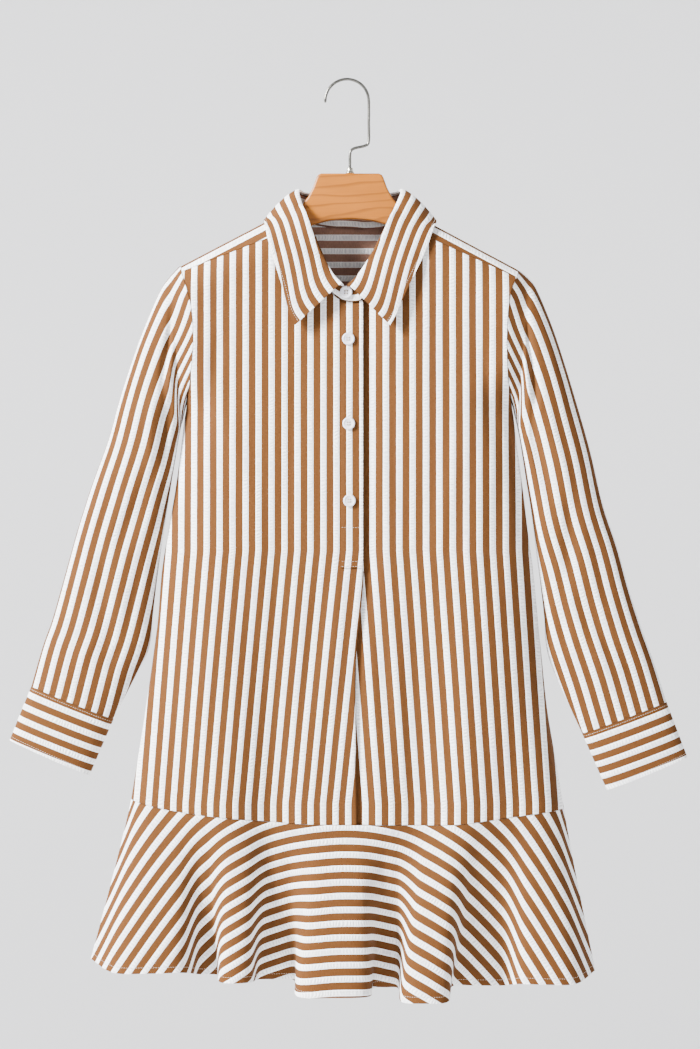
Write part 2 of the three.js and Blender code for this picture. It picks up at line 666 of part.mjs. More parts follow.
// Sleeves and cuffs
const SLEEVE_AROUND = 20;
const SLEEVE_SQUARENESS = 0.8;
/** A ring point: angle 0 is the outer edge, a quarter turn the front, a half turn the inner edge. */
function ringPoint(sign, row, angle) {
  const reach = (1 + Math.cos(angle)) / 2;
  const bulge = Math.sign(Math.sin(angle)) * Math.abs(Math.sin(angle)) ** SLEEVE_SQUARENESS;
  return new THREE.Vector3(
    sign * lerp(row.inX, row.outX, reach),
    -row.deep * bulge,
    lerp(row.inZ, row.outZ, reach),
  );
}
const ringAngles = (sign, count) => Array.from({ length: count }, (_, i) => (-sign * 2 * Math.PI * i) / count);

/** How deep the creases press the sleeve at a place along it and round it. */
function creaseDepth(creases, along, roundness, length, girth) {
  return creases.reduce((deepest, crease) => {
    const startX = crease.along0 * length;
    const startY = crease.round0 * girth;
    const runX = (crease.along1 - crease.along0) * length;
    const runY = (crease.round1 - crease.round0) * girth;
    const toX = along * length - startX;
    const toY = roundness * girth - startY;
    const t = clamp((toX * runX + toY * runY) / (runX * runX + runY * runY));
    const away = Math.hypot(toX - t * runX, toY - t * runY) / crease.width;
    return deepest + crease.deep * Math.exp(-away * away);
  }, 0);
}
const SLEEVE_LENGTH = 520;
const SLEEVE_GIRTH = 120;

function sleeve(side) {
  const sign = side === "left" ? -1 : 1;
  const angles = ringAngles(sign, SLEEVE_AROUND);
  const topZ = shoulderZ(sign * SHOULDER_POINT_X);
  const lowZ = UNDERARM_Z + CLOTH;
  const armhole = angles.map((angle) => {
    const z = lerp(lowZ, topZ, (1 + Math.cos(angle)) / 2);
    const x = sign * halfWidth(side, z);
    const front = Math.sin(angle) > 0;
    const depth = wallDepth(front ? "front" : "back", x, z);
    const clear = ARMHOLE_GAP + CLOTH * smooth((UNDERARM_Z + UNDERARM_EASE - z) / UNDERARM_EASE);
    return new THREE.Vector3(x + sign * clear, front ? -depth : depth, z);
  });
  const sections = steps(14).map((along) => {
    const row = rowAt(SLEEVES[side], along);
    return angles.map((angle) => {
      const roundness = 1 - (1 + Math.cos(angle)) / 2;
      const press = creaseDepth(SLEEVE_CREASES[side], along, roundness, SLEEVE_LENGTH, SLEEVE_GIRTH);
      const fade = Math.abs(Math.sin(angle)) * smooth((1 - along) * 8);
      return ringPoint(sign, { ...row, deep: row.deep - press * fade }, angle);
    });
  });
  return wall([armhole, ...sections], CLOTH, {
    ring: true,
    settle: (normal, r) => (r === 0 ? noWidth(normal) : normal),
  });
}

function cuff(side) {
  const sign = side === "left" ? -1 : 1;
  const top = SLEEVES[side][SLEEVES[side].length - 1];
  const bottom = CUFFS[side];
  const drop = new THREE.Vector2(bottom.outX - top.outX, bottom.outZ - top.outZ).normalize();
  const gap = 2 * SEAM_GAP;
  const start = { ...top, outX: top.outX + gap * drop.x, outZ: top.outZ + gap * drop.y };
  start.inX = top.inX + gap * drop.x;
  start.inZ = top.inZ + gap * drop.y;
  const grid = steps(3).map((part) => {
    const names = Object.keys(top);
    const row = Object.fromEntries(names.map((name) => [name, lerp(start[name], bottom[name], part)]));
    return ringAngles(sign, SLEEVE_AROUND).map((angle) => ringPoint(sign, row, angle));
  });
  return wall(grid, CLOTH, { ring: true });
}

// Flounce
/** A curve through the crests of the waves, which has three points on a wide crest. */
function waveCurve(waves) {
  const points = waves.flatMap(({ from, to, y, z }) => {
    const wide = Math.abs(to - from) > WIDE_CREST;
    const shoulder = wide ? CREST_SHOULDER : 1;
    const ends = [new THREE.Vector3(from, y * shoulder, z), new THREE.Vector3(to, y * shoulder, z)];
    return wide ? [ends[0], new THREE.Vector3((from + to) / 2, y, z), ends[1]] : [ends[0].lerp(ends[1], 0.5)];
  });
  return new THREE.CatmullRomCurve3(points, false, "centripetal");
}
/** A flounce from the hem seam to its waves, with its points at equal shares of both lengths. */
function flounce(waves, place, columns) {
  const sign = waves[0].from < 0 ? 1 : -1;
  const gap = SEAM_GAP + CLOTH / 4;
  const leftX = -halfWidth("left", HEM_SEAM[0].z);
  const rightX = halfWidth("right", HEM_SEAM[HEM_SEAM.length - 1].z);
  const seamPoints = steps(40).map((t) => {
    const x = sign > 0 ? lerp(leftX, rightX, t) : lerp(rightX, leftX, t);
    return place(x, hemZ(x) - gap);
  });
  const seam = new THREE.CatmullRomCurve3(seamPoints, false, "centripetal");
  const hem = waveCurve(waves);
  seam.arcLengthDivisions = ARC_DIVISIONS;
  hem.arcLengthDivisions = ARC_DIVISIONS;
  const grid = steps(6).map((part) =>
    steps(columns).map((t) => {
      const top = seam.getPointAt(t);
      const low = hem.getPointAt(t);
      return new THREE.Vector3(
        lerp(top.x, low.x, part ** FLOUNCE_FLARE),
        lerp(top.y, low.y, part ** FLOUNCE_WAVE_GROWTH),
        lerp(top.z, low.z, part),
      );
    }),
  );
  return wall(grid, CLOTH, { settle: (normal, r, c) => (c === 0 || c === columns ? noDepth(normal) : normal) });
}

// Buttons
function button({ x, z }, out) {
  const disc = new THREE.Shape().absarc(0, 0, BUTTON.across / 2 - BUTTON.bevel, 0, 2 * Math.PI);
  for (let i = 0; i < 4; i += 1) {
    const angle = (Math.PI / 2) * (i + 0.5);
    const [hx, hz] = [BUTTON.holeRing * Math.cos(angle), BUTTON.holeRing * Math.sin(angle)];
    const corners = steps(5).slice(1).map((t) => {
      const turn = -2 * Math.PI * t;
      return new THREE.Vector2(hx + BUTTON.hole * Math.cos(turn), hz + BUTTON.hole * Math.sin(turn));
    });
    disc.holes.push(new THREE.Path(corners));
  }
  const geometry = new THREE.ExtrudeGeometry(disc, {
    depth: BUTTON.thick - 2 * BUTTON.bevel,
    bevelThickness: BUTTON.bevel,
    bevelSize: BUTTON.bevel,
    bevelSegments: 1,
    curveSegments: 8,
  });
  geometry.translate(0, 0, BUTTON.bevel);
  geometry.rotateX(Math.PI / 2);
  return geometry.translate(x, -out, z);
}

// Hanger
function hangerBody() {
  const armTop = (sign, x) => new THREE.Vector2(sign * x, shoulderZ(sign * x) - WOOD_ARM.underCloth - CLOTH);
  const half = (sign) => [
    new THREE.Vector2(sign * WOOD_TOP.halfWidth, WOOD_TOP.z),
    new THREE.Vector2(sign * WOOD_TOP.cornerX, WOOD_TOP.cornerZ),
    new THREE.Vector2(sign * WOOD_TOP.shoulderX, WOOD_TOP.shoulderZ),
    new THREE.Vector2(sign * WOOD_NECK.lowX, WOOD_NECK.lowZ),
    new THREE.Vector2(sign * WOOD_NECK.dipX, shoulderZ(sign * WOOD_NECK.dipX) - WOOD_NECK.dip),
    ...[WOOD_ARM.from, WOOD_ARM.reach - WOOD_ARM.tipRound].map((x) => armTop(sign, x)),
    armTop(sign, WOOD_ARM.reach).add(new THREE.Vector2(0, -WOOD_ARM.deepTip / 2)),
    ...[WOOD_ARM.reach - WOOD_ARM.tipRound, WOOD_ARM.from].map((x) => {
      const share = (x - WOOD_ARM.from) / (WOOD_ARM.reach - WOOD_ARM.from);
      const deep = lerp(WOOD_ARM.deepInside, WOOD_ARM.deepTip, share);
      return armTop(sign, x).sub(new THREE.Vector2(0, deep));
    }),
    ...WOOD_ARCH.map((row) => new THREE.Vector2(sign * row.x, row.z)),
  ];
  const right = half(1);
  const outline = [...right.slice(0, -1), ...half(-1).reverse()];
  const geometry = new THREE.ExtrudeGeometry(new THREE.Shape(outline), {
    depth: WOOD_THICK - 2 * WOOD_BEVEL,
    bevelThickness: WOOD_BEVEL,
    bevelSize: WOOD_BEVEL,
    bevelOffset: -WOOD_BEVEL,
    bevelSegments: 3,
  });
  return geometry.translate(0, 0, -WOOD_THICK / 2 + WOOD_BEVEL).rotateX(Math.PI / 2);
}

function hangerHook() {
  const arc = steps(12).map((t) => {
    const angle = (Math.PI + HOOK.pastHalf) * t;
    const [x, z] = [HOOK.radius * Math.cos(angle), HOOK.radius * Math.sin(angle)];
    return new THREE.Vector3(HOOK.centreX + x, 0, HOOK.centreZ + z);
  });
  const stem = HOOK_STEM.map(({ x, z }) => new THREE.Vector3(x, 0, z));
  const path = new THREE.CatmullRomCurve3([...stem, ...arc]);
  const wire = new THREE.Shape().absarc(0, 0, WIRE_RADIUS, 0, 2 * Math.PI);
  return new THREE.ExtrudeGeometry(wire, { steps: 44, extrudePath: path, curveSegments: 4 });
}

function ferrule() {
  const { inner, neck, outer, top, rimTop, fillet, foot } = FERRULE;
  const rim = [[inner, foot], [outer, foot], [outer, rimTop]];
  const profile = [...rim, [neck, rimTop + fillet], [neck, top], [inner, top], [inner, foot]];
  const points = profile.map(([r, z]) => new THREE.Vector2(r, z));
  return new THREE.LatheGeometry(points, 20).rotateX(Math.PI / 2);
}

// The dress
const dress = new THREE.Group();
const finishes = {
  cloth: new THREE.MeshStandardMaterial({ color: COLOURS.cloth, roughness: 0.9, side: THREE.DoubleSide }),
  wood: new THREE.MeshStandardMaterial({ color: COLOURS.wood, roughness: 0.45 }),
  steel: new THREE.MeshStandardMaterial({ color: COLOURS.steel, roughness: 0.2, metalness: 1 }),
  button: new THREE.MeshStandardMaterial({ color: COLOURS.button, roughness: 0.3 }),
};
function add(name, geometry, finish) {
  const mesh = new THREE.Mesh(geometry, finishes[finish].clone());
  mesh.name = name;
  dress.add(mesh);
}

add("front", front(), "cloth");
add("back", back(), "cloth");
add("yoke", yoke(), "cloth");
add("collar_stand", collarStand(), "cloth");
add("collar_leaf", collarLeaf(), "cloth");
add("placket_over", strip(PLACKET, -STRIP_LIFT), "cloth");
add("placket_under", strip(UNDER_PLACKET, 4 * PLEAT_TURN - STRIP_LIFT), "cloth");
for (const side of ["left", "right"]) {
  add(`sleeve_${side}`, sleeve(side), "cloth");
  add(`cuff_${side}`, cuff(side), "cloth");
}
add("flounce_front", flounce(FLOUNCE_FRONT, frontPoint, 66), "cloth");
add("flounce_back", flounce(FLOUNCE_BACK, backPoint, 48), "cloth");
PLACKET_BUTTONS.forEach((place, i) => {
  const under = wallDepth("front", place.x, place.z - BUTTON.across / 2) + SEAM_GAP / 2;
  add(`button_${i + 1}`, button(place, under + STRIP_LIFT + CLOTH / 2 + BUTTON.gap), "button");
});
const standOut = STAND_ENDS.left[1].out + STAND_TOP_OUT + CLOTH / 2;
add("button_stand", button(STAND_BUTTON, standOut + BUTTON.gap), "button");
add("hanger_body", hangerBody(), "wood");
add("hanger_hook", hangerHook(), "steel");
add("hanger_ferrule", ferrule(), "steel");

export default dress;
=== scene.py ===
"""A striped seersucker shirt dress on a wooden hanger, built as thin cloth for rendering.

Each class builds one sub-assembly of the dress or the hanger on the form of its CAD solids and
dresses it. The form is worked out in millimetres, and every mesh is made in metres, in the row's
frame: +Z up, the front faces -Y, and the origin is the inside top of the hook.
"""

from __future__ import annotations

import logging
import math
from dataclasses import dataclass, field
from enum import Enum
from typing import Callable, Sequence

import bmesh
import bpy
import numpy as np
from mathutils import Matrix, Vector


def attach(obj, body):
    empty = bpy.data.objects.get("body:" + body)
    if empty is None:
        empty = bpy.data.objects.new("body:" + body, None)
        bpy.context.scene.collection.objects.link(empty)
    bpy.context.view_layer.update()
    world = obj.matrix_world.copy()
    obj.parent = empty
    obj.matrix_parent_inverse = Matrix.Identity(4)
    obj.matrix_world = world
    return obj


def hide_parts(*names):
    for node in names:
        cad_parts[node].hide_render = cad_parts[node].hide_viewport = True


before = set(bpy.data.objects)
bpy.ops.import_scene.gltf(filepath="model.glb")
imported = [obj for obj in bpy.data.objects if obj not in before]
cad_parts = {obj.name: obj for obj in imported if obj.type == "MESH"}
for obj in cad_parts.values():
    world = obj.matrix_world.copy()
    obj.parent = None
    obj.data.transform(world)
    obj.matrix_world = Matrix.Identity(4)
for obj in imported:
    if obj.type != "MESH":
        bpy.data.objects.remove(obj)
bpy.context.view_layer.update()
LOG = logging.getLogger("dress")

MM = 0.001
PITCH = 14.73
CLOTH = 0.9
SEAM_GAP = 0.3
STRIP_LIFT = 1.5
Array = np.ndarray


class Side(Enum):
    """The dress's sides, as seen from the front."""

    LEFT = "left"
    RIGHT = "right"

    @property
    def sign(self) -> int:
        """The direction of the side along X."""
        return -1 if self is Side.LEFT else 1


class Face(Enum):
    """The two faces of the dress."""

    FRONT = "front"
    BACK = "back"

    @property
    def sign(self) -> int:
        """The direction of the face along Y."""
        return -1 if self is Face.FRONT else 1


# Numbers between rows


def lerp(a: float | Array, b: float | Array, t: float | Array) -> float | Array:
    """The value a share t of the way from a to b."""
    return a + (b - a) * t


def clamp(t: float | Array) -> float | Array:
    """The value, kept from 0 to 1."""
    return np.clip(t, 0.0, 1.0)


def smooth(t: float | Array) -> float | Array:
    """A soft step from 0 to 1."""
    return clamp(t) ** 2 * (3 - 2 * clamp(t))


def rounded(t: float | Array) -> float | Array:
    """A quarter circle from 0 to 1."""
    return np.sqrt(1 - (1 - clamp(t)) ** 2)


def unit(vectors: Array) -> Array:
    """The vectors at length 1."""
    return vectors / np.maximum(np.linalg.norm(vectors, axis=-1, keepdims=True), 1e-9)


class Curve:
    """A smooth curve through rows of values."""

    def __init__(self, keys: Sequence[float], values: Sequence[float]) -> None:
        """Keep the rows in rising order.

        Args:
            keys: where each row lies.
            values: the value of each row.
        """
        order = 1 if keys[-1] > keys[0] else -1
        self.keys = np.array(keys, float)[::order]
        self.values = np.array(values, float)[::order]

    def __call__(self, at: float | Array) -> Array:
        """The value at a place, held past the ends.

        Args:
            at: one or more places.

        Returns:
            The values there.
        """
        keys, values = self.keys, self.values
        last = len(keys) - 1
        at = np.asarray(at, float)
        i = np.clip(np.searchsorted(keys, at, side="right") - 1, 0, last - 1)
        before, after = np.maximum(i - 1, 0), np.minimum(i + 2, last)
        step = keys[i + 1] - keys[i]
        slope_a = (values[i + 1] - values[before]) / (keys[i + 1] - keys[before])
        slope_b = (values[after] - values[i]) / (keys[after] - keys[i])
        t = clamp((at - keys[i]) / step)
        t2, t3 = t * t, t * t * t
        ends = (2 * t3 - 3 * t2 + 1) * values[i] + (3 * t2 - 2 * t3) * values[i + 1]
        return ends + step * ((t3 - 2 * t2 + t) * slope_a + (t3 - t2) * slope_b)


def curves(names: str, rows: Sequence[Sequence[float]]) -> dict[str, Curve]:
    """Curves through the columns of a table.

    Args:
        names: the columns' names, the first of which is the key. A table keyed by "row" has evenly spaced rows.
        rows: the table.

    Returns:
        A curve for each column past the key.
    """
    words = names.split()
    if words[0] == "row":
        keys = [i / (len(rows) - 1) for i in range(len(rows))]
        return {name: Curve(keys, [row[i] for row in rows]) for i, name in enumerate(words[1:])}
    keys = [row[0] for row in rows]
    return {name: Curve(keys, [row[i + 1] for row in rows]) for i, name in enumerate(words[1:])}


def travelled(points: Array, axis: int) -> Array:
    """How far each point of a grid lies along its line.

    Args:
        points: a grid of points.
        axis: the grid's axis that the line runs along.

    Returns:
        The way from the line's start to each point.
    """
    hops = np.linalg.norm(np.diff(points, axis=axis), axis=-1)
    start = np.zeros_like(np.take(hops, [0], axis=axis))
    return np.cumsum(np.concatenate([start, hops], axis=axis), axis=axis)


# The form of the body

SHOULDER = {Side.LEFT: (-112.2, 0.524), Side.RIGHT: (-114.9, 0.535)}
SHOULDER_ROUND = 45.0
SHOULDER_BLEND = 80.0
SHOULDER_ARC = 36.7
YOKE_FRONT = {Side.LEFT: (-147.9, 0.3825), Side.RIGHT: (-142.4, 0.4516)}
YOKE_BACK_Z = -262.0
UNDERARM_Z = -384.0
ARMHOLE_OPENS_OVER = 80.0
SIDE_ROUND = 70.0
FOLDS_START_Z = -430.0
FOLDS_FULL_Z = -850.4
SIDES = curves(
    "z left right",
    [
        (-205, 197, 195), (-223, 192, 192.4), (-242, 186, 184.5), (-262, 181, 181), (-292, 178.6, 179),
        (-320, 179.6, 179), (-352, 183.3, 181.5), (-384, 189.7, 187.8), (-414, 193.2, 191), (-467, 200.3, 198.4),
        (-520, 209.3, 204.8), (-563, 216.2, 210.5), (-619, 220.8, 216), (-659, 226, 220), (-720, 234.6, 226.5),
        (-772, 242.7, 235), (-824, 251.4, 244), (-860, 257, 250),
    ],
)  # fmt: skip
DEPTHS = curves("z front back", [(-110, 25, 25), (-260, 30, 28), (-384, 33, 30), (-560, 36, 33), (-860, 42, 40)])
BODY_FOLDS = {
    Face.FRONT: [(-205, 26, 5), (-140, 30, -6), (-88, 24, 5), (75, 26, 5), (128, 28, -5), (190, 26, 5)],
    Face.BACK: [(-165, 30, 6), (-85, 26, 5), (-15, 34, -6), (70, 28, 6), (150, 30, 5)],
}
HEM_SEAM = curves(
    "x z",
    [
        (-252, -824.6), (-202, -834.9), (-132, -843), (-57, -849.3), (0, -850.4), (112, -850.2), (173, -843.5),
        (216, -838.4), (246, -834.9),
    ],
)["z"]  # fmt: skip
PLEAT_EDGE = curves(
    "z x", [(-240, 15), (-563, 15), (-606, 12), (-650, 7.2), (-716, 5.8), (-764, 6.1), (-860, 7.5)]
)["x"]
PLEAT_DEEP = 25.0
PLEAT_TURN = 1.2
PLEAT_SETTLES_OVER = 26.0
SLIT_END_Z = -563.0


@dataclass(frozen=True)
class Crease:
    """A soft trough or ridge of the cloth, from one point to another.

    Attributes:
        start: where it starts, in the cloth's own two measures.
        end: where it ends.
        rise: how far it stands out; below 0 it sinks in.
        width: half its width.
    """

    start: tuple[float, float]
    end: tuple[float, float]
    rise: float
    width: float

    def lift(self, a: Array, b: Array) -> Array:
        """How far the crease moves the cloth.

        Args:
            a: the first measure of each point.
            b: the second measure.

        Returns:
            The move outwards, strongest in the middle of the crease.
        """
        run_a, run_b = self.end[0] - self.start[0], self.end[1] - self.start[1]
        t = clamp(((a - self.start[0]) * run_a + (b - self.start[1]) * run_b) / (run_a**2 + run_b**2))
        away = np.hypot(a - self.start[0] - t * run_a, b - self.start[1] - t * run_b)
        swell = 0.35 + 0.65 * np.sin(math.pi * clamp(t)) ** 0.7
        return self.rise * swell * np.exp(-((away / self.width) ** 2))


def lifted(creases: Sequence[Crease], a: Array, b: Array) -> Array:
    """The sum of the creases' moves.

    Args:
        creases: the creases.
        a: the first measure of each point.
        b: the second measure.

    Returns:
        The move outwards.
    """
    return sum((crease.lift(a, b) for crease in creases), np.zeros(np.broadcast(a, b).shape))


BODY_CREASES = {
    Face.FRONT: [
        Crease((-150, -300), (-172, -420), -2.2, 9),
        Crease((-168, -330), (-120, -452), 1.8, 12),
        Crease((-60, -330), (-74, -520), -1.2, 10),
        Crease((-110, -470), (-96, -640), 1.5, 12),
        Crease((-190, -470), (-172, -600), -1.8, 11),
        Crease((-36, -590), (-58, -760), -1.8, 11),
        Crease((-12, -575), (-22, -700), 1.6, 9),
        Crease((-160, -640), (-176, -800), 1.6, 11),
        Crease((40, -330), (52, -480), -1.2, 10),
        Crease((150, -305), (170, -430), -2.2, 9),
        Crease((120, -420), (98, -560), 1.6, 11),
        Crease((172, -450), (160, -590), -1.8, 12),
        Crease((30, -585), (42, -740), -2, 10),
        Crease((52, -640), (60, -820), 1.6, 10),
        Crease((100, -640), (116, -800), -1.6, 11),
        Crease((206, -620), (214, -800), -1.8, 10),
    ],
    Face.BACK: [
        Crease((-140, -300), (-168, -420), -2.2, 10),
        Crease((-30, -280), (-44, -500), -1.6, 12),
        Crease((36, -280), (30, -470), 1.6, 12),
        Crease((142, -310), (166, -440), -2.2, 10),
        Crease((-110, -450), (-124, -680), 1.8, 12),
        Crease((96, -470), (118, -700), -1.8, 12),
        Crease((10, -560), (-8, -780), 1.8, 12),
        Crease((-190, -600), (-204, -790), -1.8, 11),
        Crease((196, -560), (206, -740), 1.8, 11),
    ],
}


def side_of(x: Array, values: dict[Side, Array]) -> Array:
    """The value of the side that each x lies on.

    Args:
        x: the places across.
        values: the value for each side.

    Returns:
        The values.
    """
    return np.where(np.asarray(x) < 0, values[Side.LEFT], values[Side.RIGHT])


def shoulder_z(x: Array) -> Array:
    """Height of the shoulder line, which passes softly from one side to the other in the middle."""
    left, right = [top - fall * np.abs(x) for top, fall in (SHOULDER[Side.LEFT], SHOULDER[Side.RIGHT])]
    return lerp(left, right, smooth(0.5 + np.asarray(x) / SHOULDER_BLEND))


def yoke_front_z(x: Array) -> Array:
    """Height of the front yoke seam."""
    return side_of(x, {side: top - fall * np.abs(x) for side, (top, fall) in YOKE_FRONT.items()})


def half_width(side: Side, z: Array) -> Array:
    """Half the body's width on one side."""
    return SIDES[side.value](z) - 0.6


def half_width_at(x: Array, z: Array) -> Array:
    """Half the body's width on the side of x."""
    return side_of(x, {side: half_width(side, z) for side in Side})


def arc_at(drop: Array) -> Array:
    """The arc length over the shoulder that reaches a drop below it."""
    turned = SHOULDER_ARC * np.arccos(1 - np.clip(drop, 0, SHOULDER_ROUND) / SHOULDER_ROUND)
    return turned + np.maximum(np.asarray(drop) - SHOULDER_ROUND, 0)


def drop_at(arc: Array) -> Array:
    """The drop below the shoulder line that an arc length reaches."""
    turn = np.abs(arc) / SHOULDER_ARC
    straight = np.abs(arc) - math.pi / 2 * SHOULDER_ARC
    return np.where(turn < math.pi / 2, SHOULDER_ROUND * (1 - np.cos(turn)), SHOULDER_ROUND + straight)


def full_depth(face: Face, x: Array, z: Array) -> Array:
    """How far a face stands from the middle plane before the shoulder rounds it off.

    Args:
        face: the front or the back.
        x: the places across.
        z: the heights.

    Returns:
        The depths.
    """
    opening = np.where(z > UNDERARM_Z, smooth((z - UNDERARM_Z) / ARMHOLE_OPENS_OVER) * SIDE_ROUND, 0)
    in_from_side = half_width_at(x, z) + opening - np.abs(x)
    folds = sum(-deep * np.exp(-(((x - at) / width) ** 2)) for at, width, deep in BODY_FOLDS[face])
    hang = smooth((FOLDS_START_Z - z) / (FOLDS_START_Z - FOLDS_FULL_Z))
    return (DEPTHS[face.value](z) + folds * hang) * rounded(in_from_side / SIDE_ROUND)


def wall_depth(face: Face, x: Array, z: Array) -> Array:
    """How far a face stands from the middle plane."""
    return full_depth(face, x, z) * rounded((shoulder_z(x) - z) / SHOULDER_ROUND)


def fine_lift(face: Face, x: Array, z: Array) -> Array:
    """How far the small creases move a face, fading out at its sides and seams.

    Args:
        face: the front or the back.
        x: the places across.
        z: the heights.

    Returns:
        The moves outwards.
    """
    inside = smooth((half_width_at(x, z) - np.abs(x)) / 30) * smooth((z - HEM_SEAM(x)) / 40)
    below = smooth((yoke_front_z(x) - 12 - z) / 40)
    return lifted(BODY_CREASES[face], x, z) * inside * below


def body_point(face: Face, x: Array, z: Array, inset: Array | float = 0.0, creased: bool = True) -> Array:
    """Points of the body's front or back.

    Args:
        face: the front or the back.
        x: the places across.
        z: the heights.
        inset: how far each point sinks inwards.
        creased: whether the small creases are in it.

    Returns:
        An array of points.
    """
    lift = fine_lift(face, x, z) if creased else 0.0
    y = face.sign * (wall_depth(face, x, z) + lift + SEAM_GAP / 2 - inset)
    return np.stack(np.broadcast_arrays(x, y, z), axis=-1).astype(float)


def outside_body(points: Array, clear: float, above: Array) -> Array:
    """Points moved out, where they need it, until they are clear of the body by a distance.

    Args:
        points: the points.
        clear: the distance.
        above: which of the points may be moved.

    Returns:
        The moved points.
    """
    x, y, z = np.moveaxis(points, -1, 0)
    deep = np.where(y < 0, full_depth(Face.FRONT, x, z), full_depth(Face.BACK, x, z)) + clear
    centre = shoulder_z(x) - SHOULDER_ROUND
    reach = np.maximum(np.hypot(y / deep, (z - centre) / (SHOULDER_ROUND + clear)), 1e-6)
    lower = z < centre
    push = (reach < 1) & ~lower & above
    y = np.where(lower & above, np.sign(y) * np.maximum(np.abs(y), deep), np.where(push, y / reach, y))
    z = np.where(push, centre + (z - centre) / reach, z)
    return np.stack([x, y, z], axis=-1)


# Cloth walls


@dataclass
class Wall:
    """A closed wall of cloth from a grid of points on its middle surface.

    Seen from outside, a grid row runs from left to right and the rows run down.

    Attributes:
        grid: the points, in rows.
        weave: each point's place in the flat cloth, across and along the stripes, in millimetres.
        thickness: the wall's thickness.
        ring: whether each row closes on itself.
        keep: which cells are cloth, or None for all.
        flat_normal: for the first and last columns, the axes that their normals don't follow, by row.
    """

    grid: Array
    weave: Array
    thickness: float = CLOTH
    ring: bool = False
    keep: Array | None = None
    flat_normal: Callable[[Array, Array], Array] | None = None

    def normals(self) -> Array:
        """The outward normal at each point.

        Returns:
            A grid of unit vectors.
        """
        if self.ring:
            across = np.roll(self.grid, -1, axis=1) - np.roll(self.grid, 1, axis=1)
        else:
            across = np.gradient(self.grid, axis=1)
        normals = unit(np.cross(np.gradient(self.grid, axis=0), across))
        if self.flat_normal is not None:
            normals = unit(self.flat_normal(normals, self.grid))
        return normals

    def build(self, name: str, finishes: Sequence[bpy.types.Material]) -> bpy.types.Object:
        """Make the wall's mesh, with the weave as its UV map.

        Args:
            name: the object's name.
            finishes: the outside's material and the inside's.

        Returns:
            The object.
        """
        rows, columns = self.grid.shape[:2]
        normals = self.normals()
        layers = [self.grid + side * self.thickness * normals for side in (0.5, -0.5)]
        cells = columns if self.ring else columns - 1
        keep = np.ones((rows - 1, cells), bool) if self.keep is None else self.keep
        r, c = np.nonzero(keep)
        next_c = (c + 1) % columns
        corners = np.stack(
            [r * columns + c, r * columns + next_c, (r + 1) * columns + next_c, (r + 1) * columns + c], 1
        )
        inner = corners + rows * columns
        weave = np.stack(
            [self.weave[r, c], self._weave_after(r, c), self._weave_after(r + 1, c), self.weave[r + 1, c]], 1
        )
        faces = [corners[:, ::-1], inner]
        coords = [weave[:, ::-1], weave]
        slots = [np.zeros(len(r), int), np.ones(len(r), int)]
        for rim, rim_weave in self._rims(keep, corners, weave, rows * columns):
            faces.append(rim)
            coords.append(rim_weave)
            slots.append(np.zeros(len(rim), int))
        mesh = bpy.data.meshes.new(name)
        points = np.concatenate([layer.reshape(-1, 3) for layer in layers]) * MM
        mesh.from_pydata(points.tolist(), [], np.concatenate(faces).tolist())
        uv = mesh.uv_layers.new(name="weave")
        uv.data.foreach_set("uv", (np.concatenate(coords).reshape(-1) * MM).astype(np.float32))
        for finish in finishes:
            mesh.materials.append(finish)
        mesh.polygons.foreach_set("material_index", np.concatenate(slots).astype(np.int32))
        return as_object(mesh, name)

    def _weave_after(self, r: Array, c: Array) -> Array:
        """The weave of the next point along a row, past the join of a ring as well.

        Args:
            r: the rows.
            c: the columns.

        Returns:
            The places in the flat cloth.
        """
        columns = self.grid.shape[1]
        if not self.ring:
            return self.weave[r, c + 1]
        past = self.weave[r, 0] + (self.weave[r, -1] - self.weave[r, -2])
        closing = np.where(
            np.abs(past - self.weave[r, 0]) > 0, self.weave[r, -1] * 2 - self.weave[r, -2], past
        )
        return np.where((c == columns - 1)[:, None], closing, self.weave[r, (c + 1) % columns])

    def _rims(self, keep: Array, corners: Array, weave: Array, shift: int) -> list[tuple[Array, Array]]:
        """The faces that close the wall's open edges.

        Args:
            keep: which cells are cloth.
            corners: the outer corners of the kept cells.
            weave: their weave.
            shift: how many points the inner layer lies after the outer one.

        Returns:
            The faces and the weave for each of the four directions.
        """
        r, c = np.nonzero(keep)
        found = []
        for (dr, dc), (p, q) in zip([(-1, 0), (0, 1), (1, 0), (0, -1)], [(0, 1), (1, 2), (2, 3), (3, 0)]):
            nr, nc = r + dr, c + dc
            if self.ring:
                nc = nc % keep.shape[1]
            inside = (nr >= 0) & (nr < keep.shape[0]) & (nc >= 0) & (nc < keep.shape[1])
            open_edge = ~inside
            open_edge[inside] = ~keep[nr[inside], nc[inside]]
            a, b = corners[open_edge, p], corners[open_edge, q]
            wa, wb = weave[open_edge, p], weave[open_edge, q]
            found.append((np.stack([a, b, b + shift, a + shift], 1), np.stack([wa, wb, wb, wa], 1)))
        return found


def as_object(mesh: bpy.types.Mesh, name: str, smooth_shading: bool = True) -> bpy.types.Object:
    """Put a mesh into the scene.

    Args:
        mesh: the mesh.
        name: the object's name.
        smooth_shading: whether its faces are shaded smoothly, with sharp edges past 40 degrees.

    Returns:
        The object, at the origin.
    """
    mesh.update()
    if smooth_shading:
        mesh.polygons.foreach_set("use_smooth", [True] * len(mesh.polygons))
        mesh.set_sharp_from_angle(angle=math.radians(40))
    built = bpy.data.objects.new(name, mesh)
    bpy.context.scene.collection.objects.link(built)
    return built


# Finishes


